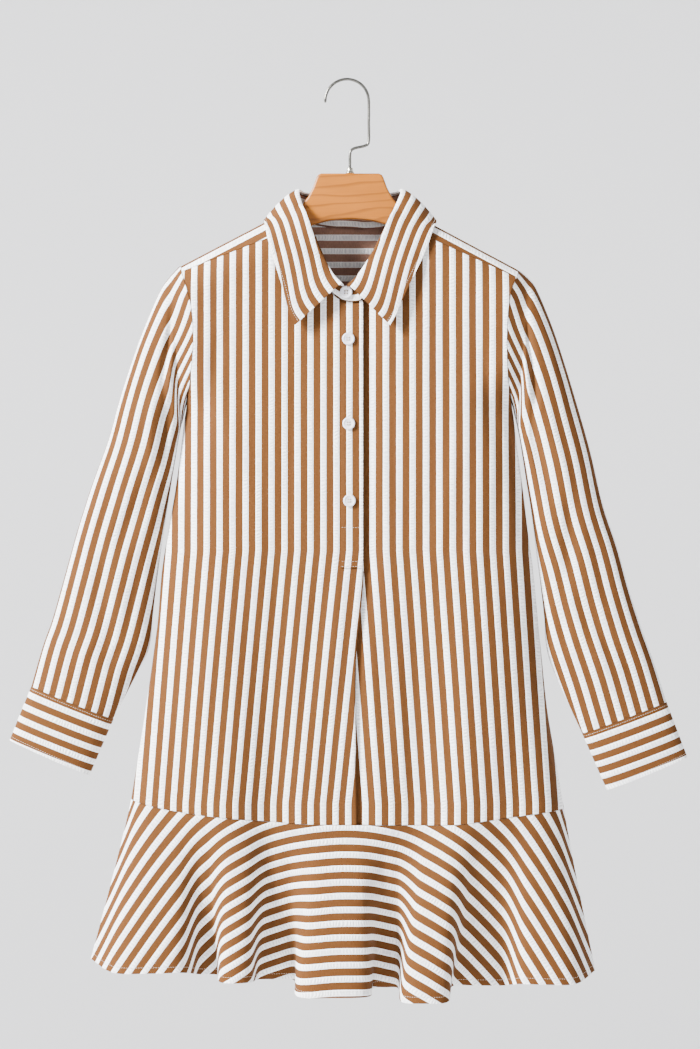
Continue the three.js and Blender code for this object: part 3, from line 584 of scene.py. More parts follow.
class Tree:
    """A material's node tree, built step by step."""

    def __init__(self, name: str) -> None:
        """Start an empty material.

        Args:
            name: the material's name.
        """
        self.material = bpy.data.materials.new(name)
        self.material.use_nodes = True
        self.nodes = self.material.node_tree.nodes
        self.nodes.clear()
        self.shader = self.add("ShaderNodeBsdfPrincipled")
        output = self.add("ShaderNodeOutputMaterial")
        self.link(self.shader.outputs["BSDF"], output.inputs["Surface"])

    def add(self, kind: str, **settings: object) -> bpy.types.Node:
        """Add a node.

        Args:
            kind: the node's type.
            **settings: its properties.

        Returns:
            The node.
        """
        node = self.nodes.new(kind)
        for key, value in settings.items():
            setattr(node, key, value)
        return node

    def link(self, start: bpy.types.NodeSocket, end: bpy.types.NodeSocket) -> None:
        """Join two sockets."""
        self.material.node_tree.links.new(start, end)

    def put(self, socket: bpy.types.NodeSocket, value: object) -> None:
        """Link a socket to the input, or set it where the value is plain."""
        if isinstance(value, bpy.types.NodeSocket):
            self.link(value, socket)
        else:
            socket.default_value = value

    def math(self, operation: str, a: object, b: object = 0.0, c: object = 0.0) -> bpy.types.NodeSocket:
        """A sum, product or other step on values.

        Args:
            operation: the step.
            a: a socket or number.
            b: the second one.
            c: the third one.

        Returns:
            The result's socket.
        """
        node = self.add("ShaderNodeMath", operation=operation)
        for socket, value in zip(node.inputs, (a, b, c)):
            self.put(socket, value)
        return node.outputs[0]

    def span(
        self, value: object, low: float, high: float, to: tuple[float, float] = (0.0, 1.0)
    ) -> bpy.types.NodeSocket:
        """A soft step of a value between two limits.

        Args:
            value: the socket.
            low: where the step starts.
            high: where it ends.
            to: the values at its start and end.

        Returns:
            The result's socket.
        """
        node = self.add("ShaderNodeMapRange", interpolation_type="SMOOTHSTEP")
        for socket, given in zip(node.inputs, (value, low, high, *to)):
            self.put(socket, given)
        return node.outputs[0]

    def mix(self, share: object, a: object, b: object, blend: str = "MIX") -> bpy.types.NodeSocket:
        """A mix of two colours.

        Args:
            share: how much of the second one.
            a: the first colour or socket.
            b: the second one.
            blend: how they mix.

        Returns:
            The result's socket.
        """
        node = self.add("ShaderNodeMix", data_type="RGBA", blend_type=blend)
        self.put(node.inputs[0], share)
        self.put(node.inputs[6], a)
        self.put(node.inputs[7], b)
        return node.outputs[2]

    def noise(
        self, vector: object, scale: float, detail: float = 2.0, roughness: float = 0.5
    ) -> bpy.types.NodeSocket:
        """Cloudy noise.

        Args:
            vector: where it is read.
            scale: how fine it is.
            detail: how many finer layers it has.
            roughness: how strong those are.

        Returns:
            The noise's socket, from 0 to 1.
        """
        node = self.add("ShaderNodeTexNoise")
        self.link(vector, node.inputs["Vector"])
        node.inputs["Scale"].default_value = scale
        node.inputs["Detail"].default_value = detail
        node.inputs["Roughness"].default_value = roughness
        return node.outputs[0]

    def scaled(self, vector: object, by: tuple[float, float, float]) -> bpy.types.NodeSocket:
        """Coordinates stretched along each axis."""
        node = self.add("ShaderNodeVectorMath", operation="MULTIPLY")
        self.link(vector, node.inputs[0])
        node.inputs[1].default_value = by
        return node.outputs[0]

    def bump(
        self, height: object, distance: float, strength: float = 1.0, under: object = None
    ) -> bpy.types.NodeSocket:
        """Make a normal from a height.

        Args:
            height: the height's socket.
            distance: how high 1 is, in metres.
            strength: how much of it shows.
            under: a coarser bump's normal.

        Returns:
            The normal's socket.
        """
        node = self.add("ShaderNodeBump")
        node.inputs["Distance"].default_value = distance
        node.inputs["Strength"].default_value = strength
        self.link(height, node.inputs["Height"])
        if under is not None:
            self.link(under, node.inputs["Normal"])
        return node.outputs[0]

    def finish(self, **inputs: object) -> bpy.types.Material:
        """Set the shader's inputs.

        Args:
            **inputs: the values or sockets, named with _ for each space.

        Returns:
            The material.
        """
        for key, value in inputs.items():
            self.put(self.shader.inputs[key.replace("_", " ")], value)
        return self.material


@dataclass(frozen=True)
class Seersucker:
    """Striped cotton whose light stripes pucker, with painted shade in the puckers' hollows.

    Attributes:
        name: the material's name.
        brown: the dark stripe's colour.
        white: the light stripe's colour.
        brown_share: the dark stripe's share of the pitch.
        pucker: how high the puckers stand, in metres.
    """

    name: str
    brown: tuple[float, float, float, float]
    white: tuple[float, float, float, float]
    brown_share: float = 0.56
    pucker: float = 0.0013

    def material(self) -> bpy.types.Material:
        """Make the material, which reads the weave from the cloth's UV map.

        Returns:
            The material.
        """
        tree = Tree(self.name)
        weave = tree.add("ShaderNodeUVMap", uv_map="weave").outputs[0]
        split = tree.add("ShaderNodeSeparateXYZ")
        tree.link(weave, split.inputs[0])
        wander = tree.math("SUBTRACT", tree.noise(tree.scaled(weave, (60, 9, 1)), 1.0, 1.0), 0.5)
        fray = tree.math("SUBTRACT", tree.noise(tree.scaled(weave, (700, 900, 1)), 1.0, 1.0), 0.5)
        phase = tree.math("MULTIPLY", split.outputs[0], 1000 / PITCH)
        phase = tree.math("MULTIPLY_ADD", wander, 0.05, phase)
        phase = tree.math("MULTIPLY_ADD", fray, 0.035, phase)
        place = tree.math("FRACT", tree.math("ADD", phase, 0.5))
        away = tree.math("ABSOLUTE", tree.math("SUBTRACT", place, 0.5))
        edge = self.brown_share / 2
        light = tree.span(away, edge - 0.012, edge + 0.012)
        crinkle = tree.noise(tree.scaled(weave, (85, 330, 1)), 1.0, 3.0, 0.55)
        drift = tree.noise(tree.scaled(weave, (110, 75, 1)), 1.0, 1.0, 0.4)
        turn = tree.math("MULTIPLY_ADD", split.outputs[1], 2 * math.pi / 0.0037, tree.math("MULTIPLY", drift, 11.0))
        ladder = tree.math("MULTIPLY_ADD", tree.math("SINE", turn), 0.5, 0.5)
        patch = tree.span(tree.noise(tree.scaled(weave, (38, 17, 1)), 1.0, 2.0), 0.4, 0.62, (0.25, 1.0))
        ladder = tree.math("MULTIPLY", ladder, patch)
        pucker = tree.math("MULTIPLY_ADD", ladder, 0.5, tree.math("MULTIPLY", crinkle, 0.6))
        middle = tree.span(away, edge + 0.01, edge + 0.12)
        height = tree.math("MULTIPLY", tree.math("MULTIPLY_ADD", middle, 0.85, 0.12), pucker)
        threads_across = self._threads(tree, split.outputs[0], 0.00052)
        threads_along = self._threads(tree, split.outputs[1], 0.00046)
        threads = tree.math("MULTIPLY", threads_across, threads_along)
        normal = tree.bump(height, self.pucker, 0.85)
        normal = tree.bump(threads, 0.00008, 0.5, normal)
        worn = tree.noise(tree.scaled(weave, (260, 1500, 1)), 1.0, 2.0)
        brown = tree.mix(tree.span(worn, 0.3, 0.75), tree_shade(self.brown, 0.86), tree_shade(self.brown, 1.13))
        brown = tree.mix(tree.math("MULTIPLY", threads, 0.1), brown, tree_shade(self.brown, 0.7))
        # Painted shade: where the puckers sink, the pale stripes are mixed halfway toward grey, on top of the bump's
        # real shading.
        painted_pucker_shade = tree.math("MULTIPLY", tree.span(pucker, 0.52, 0.3), middle)
        white = tree.mix(tree.math("MULTIPLY", painted_pucker_shade, 0.5), self.white, (0.34, 0.34, 0.37, 1))
        white = tree.mix(tree.math("MULTIPLY", threads, 0.05), white, tree_shade(self.white, 0.8))
        colour = tree.mix(light, brown, white)
        return tree.finish(
            Base_Color=colour,
            Normal=normal,
            Roughness=tree.span(light, 0, 1, (0.78, 0.9)),
            Sheen_Weight=0.01,
            Sheen_Roughness=0.5,
            Specular_IOR_Level=0.05,
        )

    def _threads(self, tree: Tree, along: bpy.types.NodeSocket, spacing: float) -> bpy.types.NodeSocket:
        """The ridges of the threads that run one way.

        Args:
            tree: the material's tree.
            along: the coordinate across them.
            spacing: the way from one thread to the next, in metres.

        Returns:
            Their height's socket.
        """
        wave = tree.math("SINE", tree.math("MULTIPLY", along, 2 * math.pi / spacing))
        return tree.math("MULTIPLY_ADD", wave, 0.5, 0.5)


@dataclass(frozen=True)
class Thread:
    """Sewing thread.

    Attributes:
        name: the material's name.
        colour: the thread's colour.
    """

    name: str
    colour: tuple[float, float, float, float]

    def material(self) -> bpy.types.Material:
        """Make the material.

        Returns:
            The material.
        """
        tree = Tree(self.name)
        place = tree.add("ShaderNodeTexCoord").outputs["Object"]
        fuzz = tree.noise(place, 2600, 2.0)
        colour = tree.mix(tree.math("MULTIPLY", fuzz, 0.3), self.colour, (0.5, 0.45, 0.4, 1))
        return tree.finish(Base_Color=colour, Normal=tree.bump(fuzz, 0.0001, 0.5), Roughness=0.75)


@dataclass(frozen=True)
class Wood:
    """Pale varnished wood with darker grain lines.

    Attributes:
        name: the material's name.
        pale: the wood between the lines.
        grain: the lines' colour.
    """

    name: str
    pale: tuple[float, float, float, float]
    grain: tuple[float, float, float, float]

    def material(self) -> bpy.types.Material:
        """Make the material, with the grain running across the hanger.

        Returns:
            The material.
        """
        tree = Tree(self.name)
        place = tree.add("ShaderNodeTexCoord").outputs["Object"]
        split = tree.add("ShaderNodeSeparateXYZ")
        tree.link(place, split.inputs[0])
        sway = tree.noise(tree.scaled(place, (6, 20, 26)), 1.0, 2.5)
        height = tree.math("MULTIPLY_ADD", sway, 0.03, split.outputs[2])
        height = tree.math("MULTIPLY_ADD", split.outputs[0], -0.05, height)
        ring = tree.math("FRACT", tree.math("MULTIPLY", height, 1 / 0.0105))
        line = tree.math("MULTIPLY", tree.span(ring, 0.0, 0.07), tree.span(ring, 0.72, 0.98, (1.0, 0.0)))
        fibre = tree.noise(tree.scaled(place, (28, 900, 1400)), 1.0, 3.0, 0.6)
        cloud = tree.noise(tree.scaled(place, (14, 30, 60)), 1.0, 2.0)
        body = tree.mix(tree.span(fibre, 0.3, 0.7), tuple(self.pale), tree_shade(self.pale, 0.9))
        body = tree.mix(tree.span(cloud, 0.35, 0.7, (0.0, 0.5)), body, tree_shade(self.pale, 1.12))
        colour = tree.mix(tree.math("MULTIPLY", tree.math("SUBTRACT", 1.0, line), 0.55), body, self.grain)
        return tree.finish(
            Base_Color=colour,
            Normal=tree.bump(fibre, 0.00012, 0.4),
            Roughness=tree.span(fibre, 0.2, 0.8, (0.32, 0.45)),
            Specular_IOR_Level=0.25,
            Coat_Weight=0.04,
            Coat_Roughness=0.3,
        )


def tree_shade(colour: tuple[float, ...], by: float) -> tuple[float, ...]:
    """The colour, lighter or darker."""
    return (*[min(1.0, value * by) for value in colour[:3]], 1.0)


@dataclass(frozen=True)
class Metal:
    """Bright drawn wire.

    Attributes:
        name: the material's name.
        colour: the metal's colour.
        roughness: how dull it is.
    """

    name: str
    colour: tuple[float, float, float, float]
    roughness: float

    def material(self) -> bpy.types.Material:
        """Make the material.

        Returns:
            The material.
        """
        tree = Tree(self.name)
        place = tree.add("ShaderNodeTexCoord").outputs["Object"]
        marks = tree.noise(tree.scaled(place, (900, 900, 160)), 1.0, 3.0)
        stain = tree.noise(place, 120, 2.0)
        return tree.finish(
            Base_Color=tree.mix(tree.span(stain, 0.35, 0.75, (0.0, 0.35)), self.colour, tree_shade(self.colour, 0.75)),
            Normal=tree.bump(marks, 0.00005, 0.35),
            Roughness=tree.span(marks, 0.25, 0.8, (self.roughness, self.roughness + 0.14)),
            Metallic=1.0,
        )


@dataclass(frozen=True)
class Pearl:
    """The polished white plastic of shirt buttons.

    Attributes:
        name: the material's name.
        colour: the button's colour.
    """

    name: str
    colour: tuple[float, float, float, float]

    def material(self) -> bpy.types.Material:
        """Make the material.

        Returns:
            The material.
        """
        tree = Tree(self.name)
        place = tree.add("ShaderNodeTexCoord").outputs["Object"]
        cloud = tree.noise(tree.scaled(place, (90, 90, 240)), 1.0, 3.0)
        colour = tree.mix(tree.span(cloud, 0.35, 0.7, (0.0, 0.5)), self.colour, (0.5, 0.5, 0.57, 1))
        return tree.finish(
            Base_Color=colour,
            Normal=tree.bump(cloud, 0.00006, 0.2),
            Roughness=tree.span(cloud, 0.3, 0.7, (0.2, 0.3)),
            Coat_Weight=0.4,
            Coat_Roughness=0.08,
        )


@dataclass(frozen=True)
class Backdrop:
    """Plain pale paper.

    Attributes:
        name: the material's name.
        colour: the paper's colour.
    """

    name: str
    colour: tuple[float, float, float, float]

    def material(self) -> bpy.types.Material:
        """Make the material.

        Returns:
            The material.
        """
        tree = Tree(self.name)
        place = tree.add("ShaderNodeTexCoord").outputs["Object"]
        tone = tree.noise(place, 0.35, 1.0)
        colour = tree.mix(tree.span(tone, 0.3, 0.7, (0.0, 0.15)), self.colour, tree_shade(self.colour, 0.94))
        return tree.finish(Base_Color=colour, Roughness=0.95)


@dataclass
class Finishes:
    """Every finish of the scene, made once."""

    cloth: bpy.types.Material = field(init=False)
    lining: bpy.types.Material = field(init=False)
    thread: bpy.types.Material = field(init=False)
    wood: bpy.types.Material = field(init=False)
    steel: bpy.types.Material = field(init=False)
    brass: bpy.types.Material = field(init=False)
    button: bpy.types.Material = field(init=False)
    backdrop: bpy.types.Material = field(init=False)

    def __post_init__(self) -> None:
        """Make the materials."""
        brown, white = (0.088, 0.0335, 0.0095, 1.0), (0.9, 0.9, 0.895, 1.0)
        self.cloth = Seersucker("striped seersucker", brown, white).material()
        self.lining = Seersucker(
            "striped seersucker reverse", (0.22, 0.12, 0.085, 1), (0.7, 0.68, 0.66, 1)
        ).material()
        self.thread = Thread("sewing thread", (0.5, 0.42, 0.34, 1.0)).material()
        self.wood = Wood("pale varnished wood", (0.27, 0.085, 0.005, 1), (0.11, 0.03, 0.002, 1)).material()
        self.steel = Metal("bright wire", (0.13, 0.127, 0.115, 1), 0.22).material()
        self.brass = Metal("hook socket", (0.3, 0.285, 0.24, 1), 0.22).material()
        self.button = Pearl("white button", (0.66, 0.65, 0.7, 1)).material()
        self.backdrop = Backdrop("pale paper", (0.78, 0.78, 0.79, 1)).material()

    @property
    def walls(self) -> list[bpy.types.Material]:
        """The outside's and the inside's cloth."""
        return [self.cloth, self.lining]


# Body panels

LEFT_SPREAD = [0, 0.02, 0.06, 0.13, 0.22, 0.32, 0.42, 0.5, 0.58, 0.65, 0.73, 0.81, 0.88, 0.94, 1]
RIGHT_SPREAD = [0, 0.08, 0.12, 0.18, 0.26, 0.33, 0.4, 0.47, 0.55, 0.64, 0.74, 0.84, 0.92, 0.97, 1]
NECK_ROWS = [
    (0, -156, 2, -32.5, -242, 54, -42, -284, -8.5),
    (16, -143, 14.5, -31.5, -229.5, 61, -41, -270, -8),
    (37, -106, 29, -28, -207, 69, -39, -247, -6),
    (56, -66, 46, -22, -170, 82, -34, -214, -3),
    (68, -37, 58, -10, -140, 94, -20, -184, -1),
    (74, 0, 60, 2, -130, 99, 1, -161, 0),
    (67, 20, 54, 14, -131, 93, 25, -170, 0),
    (42, 44, 36, 24, -132, 60, 36, -182, 0),
    (0, 66, 0, 27, -133, 0, 38, -186, 0),
]
NECK = curves("row seam_x seam_arc top_x top_y top_z edge_x edge_y edge_z shift", NECK_ROWS)
NECK_FRONT = Curve([row[0] for row in NECK_ROWS[:6]], [row[1] for row in NECK_ROWS[:6]])
NECK_FRONT_X = 68.0
STRIPES_LEAN_FROM = -540.0
STRIPES_LEAN_OVER = 287.0


def spread(shares: Sequence[float], count: int) -> Array:
    """Shares of a width, made finer.

    Args:
        shares: the coarse shares, from 0 to 1.
        count: how many to make.

    Returns:
        The shares.
    """
    return np.interp(np.linspace(0, len(shares) - 1, count), np.arange(len(shares)), shares)


def front_top_z(x: Array) -> Array:
    """Height of the front's top edge: the neck seam in the middle, the yoke seam beside it."""
    neck = shoulder_z(x) - drop_at(NECK_FRONT(np.abs(x)))
    seam = yoke_front_z(x)
    return np.where(np.abs(x) < NECK_FRONT_X, np.minimum(neck, seam), seam)


def left_stripes(x: Array, z: Array) -> Array:
    """Place across the stripes of the left front, which lean out below the slit."""
    lean = clamp((STRIPES_LEAN_FROM - z) / STRIPES_LEAN_OVER)
    return x + lean * lerp(31, 22, clamp(np.abs(x) / 230)) - 6.6


def right_stripes(x: Array, z: Array) -> Array:
    """Place across the stripes of the right front, which lean out below the slit."""
    lean = clamp((STRIPES_LEAN_FROM - z) / STRIPES_LEAN_OVER)
    return (x - lean * lerp(22.4, 18, clamp(np.abs(x) / 230)) - 18.1) * PITCH / 15.16


def side_normals(normals: Array, grid: Array) -> Array:
    """Turn the normals at the side edges along Y at the side seams, and along Z and Y at the armholes.

    Args:
        normals: the normals.
        grid: the points.

    Returns:
        The turned normals.
    """
    turned = normals.copy()
    for c in (0, -1):
        armhole = grid[:, c, 2] > UNDERARM_Z
        turned[armhole, c, 0] = 0
        turned[~armhole, c, 1] = 0
    return turned


@dataclass
class Body:
    """The front, back and yoke.

    Attributes:
        finishes: the scene's finishes.
    """

    finishes: Finishes
    walls: dict[str, Wall] = field(default_factory=dict)

    def build(self) -> None:
        """Build the three panels."""
        self.walls["front"] = self._front()
        self.walls["back"] = self._back()
        self.walls["yoke"] = self._yoke()
        for name, wall in self.walls.items():
            cloth_piece(wall.build(f"{name}_cloth", self.finishes.walls), name)

    def _front(self) -> Wall:
        """The front, with the centre pleat turned back under its left side."""
        upper, lower = 62, 62
        level = np.concatenate([np.linspace(0, 1, upper + 1)[:-1], np.ones(lower + 1)])
        below = np.concatenate([np.zeros(upper), np.linspace(0, 1, lower + 1)])
        points, weaves = [], []
        for place, stripes in self._front_columns():
            z = np.full(len(level), SLIT_END_Z)
            x, inset = place(z)
            for _ in range(4):
                above_slit = lerp(front_top_z(x), SLIT_END_Z, level)
                z = np.where(below > 0, lerp(SLIT_END_Z, HEM_SEAM(x), below), above_slit)
                x, inset = place(z)
            points.append(body_point(Face.FRONT, x, z, inset))
            weaves.append(np.stack([stripes(x, z), -z], axis=-1))
        grid, weave = np.stack(points, axis=1), np.stack(weaves, axis=1)
        keep = np.ones((len(level) - 1, grid.shape[1] - 1), bool)
        keep[:upper, self.slit_from : self.slit_to] = False
        return Wall(grid, weave, keep=keep, flat_normal=side_normals)

    def _front_columns(self) -> list[tuple[Callable, Callable]]:
        """The front's columns from left to right.

        Returns:
            For each, a function from the heights to x and inset, and one from x and z to the place across the stripes.
        """
        columns: list[tuple[Callable, Callable]] = []

        def edge(z: Array) -> Array:
            """The pleat's fold edge."""
            return PLEAT_EDGE(z)

        for t in spread(LEFT_SPREAD, 72):
            place = lambda z, t=t: (lerp(-half_width(Side.LEFT, z), edge(z) - PLEAT_TURN, t), np.zeros(len(z)))
            columns.append((place, left_stripes))
        self.slit_from = len(columns) - 1
        turns = np.linspace(0, 1, 7)
        for t in turns[1:]:
            turn = math.pi * (t - 0.5)
            place = lambda z, a=turn: (
                edge(z) - PLEAT_TURN + PLEAT_TURN * math.cos(a),
                np.full(len(z), PLEAT_TURN + PLEAT_TURN * math.sin(a)),
            )
            columns.append((place, lambda x, z, t=t: left_stripes(edge(z), z) + 4 * t))
        for t in turns:
            turn = math.pi * (t - 0.5)
            place = lambda z, a=turn: (
                edge(z) - PLEAT_DEEP + PLEAT_TURN - PLEAT_TURN * math.cos(a),
                np.full(len(z), 3 * PLEAT_TURN + PLEAT_TURN * math.sin(a)),
            )
            columns.append((place, lambda x, z, t=t: left_stripes(edge(z), z) + 26 + 4 * t))
        self.slit_to = len(columns)
        for t in spread(RIGHT_SPREAD, 78)[1:]:

            def place(z: Array, t: float = t) -> tuple[Array, Array]:
                """The right side, which settles back to the body's surface past the fold."""
                x = lerp(edge(z) - PLEAT_DEEP + PLEAT_TURN, half_width(Side.RIGHT, z), t)
                return x, 4 * PLEAT_TURN * (1 - smooth((x - edge(z)) / PLEAT_SETTLES_OVER))

            columns.append((place, right_stripes))
        return columns

    def _back(self) -> Wall:
        """The back, one flat panel."""
        top = YOKE_BACK_Z - 0.6 - SEAM_GAP
        across = spread([0, 0.02, 0.07, 0.15, 0.25, 0.4, 0.6, 0.75, 0.85, 0.93, 0.98, 1], 100)
        part, t = np.meshgrid(np.linspace(0, 1, 120), across, indexing="ij")
        z = lerp(top, FOLDS_FULL_Z, part)
        z = lerp(top, HEM_SEAM(lerp(half_width(Side.RIGHT, z), -half_width(Side.LEFT, z), t)), part)
        x = lerp(half_width(Side.RIGHT, z), -half_width(Side.LEFT, z), t)
        lean = 0.09 * clamp((STRIPES_LEAN_FROM - z) / STRIPES_LEAN_OVER)
        weave = np.stack([x * (1 - lean) - 4, -z], axis=-1)
        return Wall(body_point(Face.BACK, x, z), weave, flat_normal=side_normals)

    def _yoke(self) -> Wall:
        """The yoke, over both shoulders, with its stripes along the shoulder in front and level behind."""
        upper = [*self._yoke_edge(-1), *reversed(self._yoke_edge(1)[:-1])]
        fine = np.linspace(0, len(upper) - 1, 150)
        edge_x = Curve(range(len(upper)), [x for x, _ in upper])(fine)
        edge_arc = Curve(range(len(upper)), [arc for _, arc in upper])(fine)
        even = np.linspace(-1, 1, len(fine))
        start = edge_x / half_width_at(edge_x, shoulder_z(edge_x) - drop_at(edge_arc))
        ridge = 0.3
        parts = np.concatenate([np.linspace(0, ridge, 18), [ridge + 0.003], np.linspace(ridge, 1, 34)[1:]])
        grid, weave = [], []
        for part in parts:
            across = lerp(start, even, 1 - (1 - part) ** 3)
            across[0], across[-1] = -1, 1
            low_x = across * half_width(Side.LEFT, YOKE_BACK_Z)
            low_arc = arc_at(shoulder_z(low_x) - YOKE_BACK_Z)
            if part < ridge:
                over = lerp(edge_arc, 0, part / ridge)
            else:
                over = lerp(0, low_arc, (part - ridge) / (1 - ridge))
            arc = lerp(lerp(edge_arc, low_arc, part), over, smooth(-edge_arc / 20))
            x = across * 192
            for _ in range(5):
                x = across * half_width_at(across, shoulder_z(x) - drop_at(arc))
            z = shoulder_z(x) - drop_at(arc)
            depth = np.where(arc < 0, wall_depth(Face.FRONT, x, z), wall_depth(Face.BACK, x, z))
            grid.append(np.stack([x, np.sign(arc) * depth, z], axis=-1))
            stripes = np.where(arc <= 0, -drop_at(arc) * 0.89 - 0.8, -z * PITCH / 15.7 + 2.8)
            weave.append(np.stack([stripes, x], axis=-1))
        return Wall(np.stack(grid)[:, ::-1], np.stack(weave)[:, ::-1], flat_normal=self._armhole_normals)

    @staticmethod
    def _armhole_normals(normals: Array, grid: Array) -> Array:
        """Keep the normals at the armholes in the plane of the armhole."""
        turned = normals.copy()
        turned[:, [0, -1], 0] = 0
        return turned

    @staticmethod
    def _yoke_edge(sign: int) -> list[tuple[float, float]]:
        """The yoke's upper edge on one side.

        Args:
            sign: the side's direction.

        Returns:
            x and the arc over the shoulder, from the armhole along the front seam and round the neck to its centre.
        """
        seam = []
        for x in (190, 172, 152, 132, 112, 94, 80):
            drop = shoulder_z(sign * x) - yoke_front_z(sign * x) - 2 * SEAM_GAP
            seam.append((sign * x, -float(arc_at(drop))))
        parts = (1 + np.linspace(0, 1, 10)) / 2
        neck = [(sign * float(NECK["seam_x"](part)), float(NECK["seam_arc"](part))) for part in parts]
        return [*seam, *neck]


def cloth_piece(
    piece: bpy.types.Object, node: str
) -> bpy.types.Object:
    """Attach a cloth piece to the root and hide the CAD solid that it stands for.

    Args:
        piece: the piece.
        node: the CAD node that it stands for.

    Returns:
        The piece.
    """
    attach(piece, "root")
    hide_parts(node)
    LOG.info("%s: %d faces", piece.name, len(piece.data.polygons))
    return piece


@dataclass
class Plackets:
    """The strips that close the front's slit.

    Attributes:
        finishes: the scene's finishes.
    """

    finishes: Finishes

    def build(self) -> None:
        """Build both strips."""
        over = self._strip(-10.3, 14.6, -559, -STRIP_LIFT, left_stripes)
        under = self._strip(-8.4, 12.6, -556, 4 * PLEAT_TURN - STRIP_LIFT, right_stripes)
        cloth_piece(over.build("placket_over_cloth", self.finishes.walls), "placket_over")
        piece = under.build("placket_under_cloth", self.finishes.walls)
        cloth_piece(piece, "placket_under")
        self.over = over

    def _strip(self, start: float, end: float, bottom: float, inset: float, stripes: Callable) -> Wall:
        """A strip laid on the front.

        Args:
            start: its left edge.
            end: its right edge.
            bottom: its lower end.
            inset: how far it lies inside the front's surface.
            stripes: the place across the stripes.

        Returns:
            The strip.
        """
        part, t = np.meshgrid(np.linspace(0, 1, 90), np.linspace(0, 1, 13), indexing="ij")
        x = lerp(start, end, t)
        z = lerp(front_top_z(x) - 2.4, bottom, part)
        rounding = 0.5 * (np.abs(2 * t - 1) ** 6)
        return Wall(body_point(Face.FRONT, x, z, inset + rounding), np.stack([stripes(x, z), -z], axis=-1))


# Collar

STAND_ENDS = {
    Side.LEFT: [
        (-9, -254.5, -9.5, -237.5, 32), (-2, -256.2, -5, -240, 32.1), (4, -256.4, 1.5, -243.5, 32.3),
        (8.5, -256, 8, -247.5, 32.4), (11.5, -255, 13, -252, 32.4),
    ],
    Side.RIGHT: [(-8, -252.5, -6, -247, 28.4), (-3, -254.5, 0, -243, 28.8)],
}  # fmt: skip
STAND_LEFT_STOPS = 1.86
STAND_LIFT = 1.3
LEAF_LIFT = 2.4
LEAF_ROLL = 8.0
LEAF_STANDS_OFF = 12.0
LEAF_CLEAR = 3.5
LEAF_ENDS_FROM = 0.84
LEAF_ENDS_FORWARD = 4.4
LEAF_ENDS_STAND_OFF = 4.0
LEAF_LEANS = 0.16
LEAF_ENDS_LEAN = 0.05


@dataclass
class NeckLines:
    """The neck seam, the stand's top and the leaf's edge, at places round the neck.

    Attributes:
        turns: the places: 0 is the right front, 1 the back's centre and 2 the left front.
        seam: the seam's points.
        top: the stand's top.
        edge: the leaf's edge.
    """

    turns: Array
    seam: Array = field(init=False)
    top: Array = field(init=False)
    edge: Array = field(init=False)

    def __post_init__(self) -> None:
        """Work the three lines out."""
        part = np.where(self.turns <= 1, self.turns, 2 - self.turns)
        sign = np.where(self.turns <= 1, 1, -1)
        row = {name: curve(part) for name, curve in NECK.items()}
        lap = 2 * smooth((self.turns - 1.68) / 0.2)
        drop = 1.5 * smooth((0.18 - self.turns) / 0.18)
        x, arc = sign * row["seam_x"], row["seam_arc"]
        z = shoulder_z(x) - drop_at(arc)
        depth = np.where(arc < 0, wall_depth(Face.FRONT, x, z), wall_depth(Face.BACK, x, z))
        self.seam = np.stack([x, np.sign(arc) * depth, z], axis=-1)
        top = [sign * row["top_x"] + row["shift"] / 2, row["top_y"] - lap, row["top_z"] - drop]
        self.top = np.stack(top, axis=-1)
        self.edge = np.stack([sign * row["edge_x"] + row["shift"], row["edge_y"], row["edge_z"]], axis=-1)


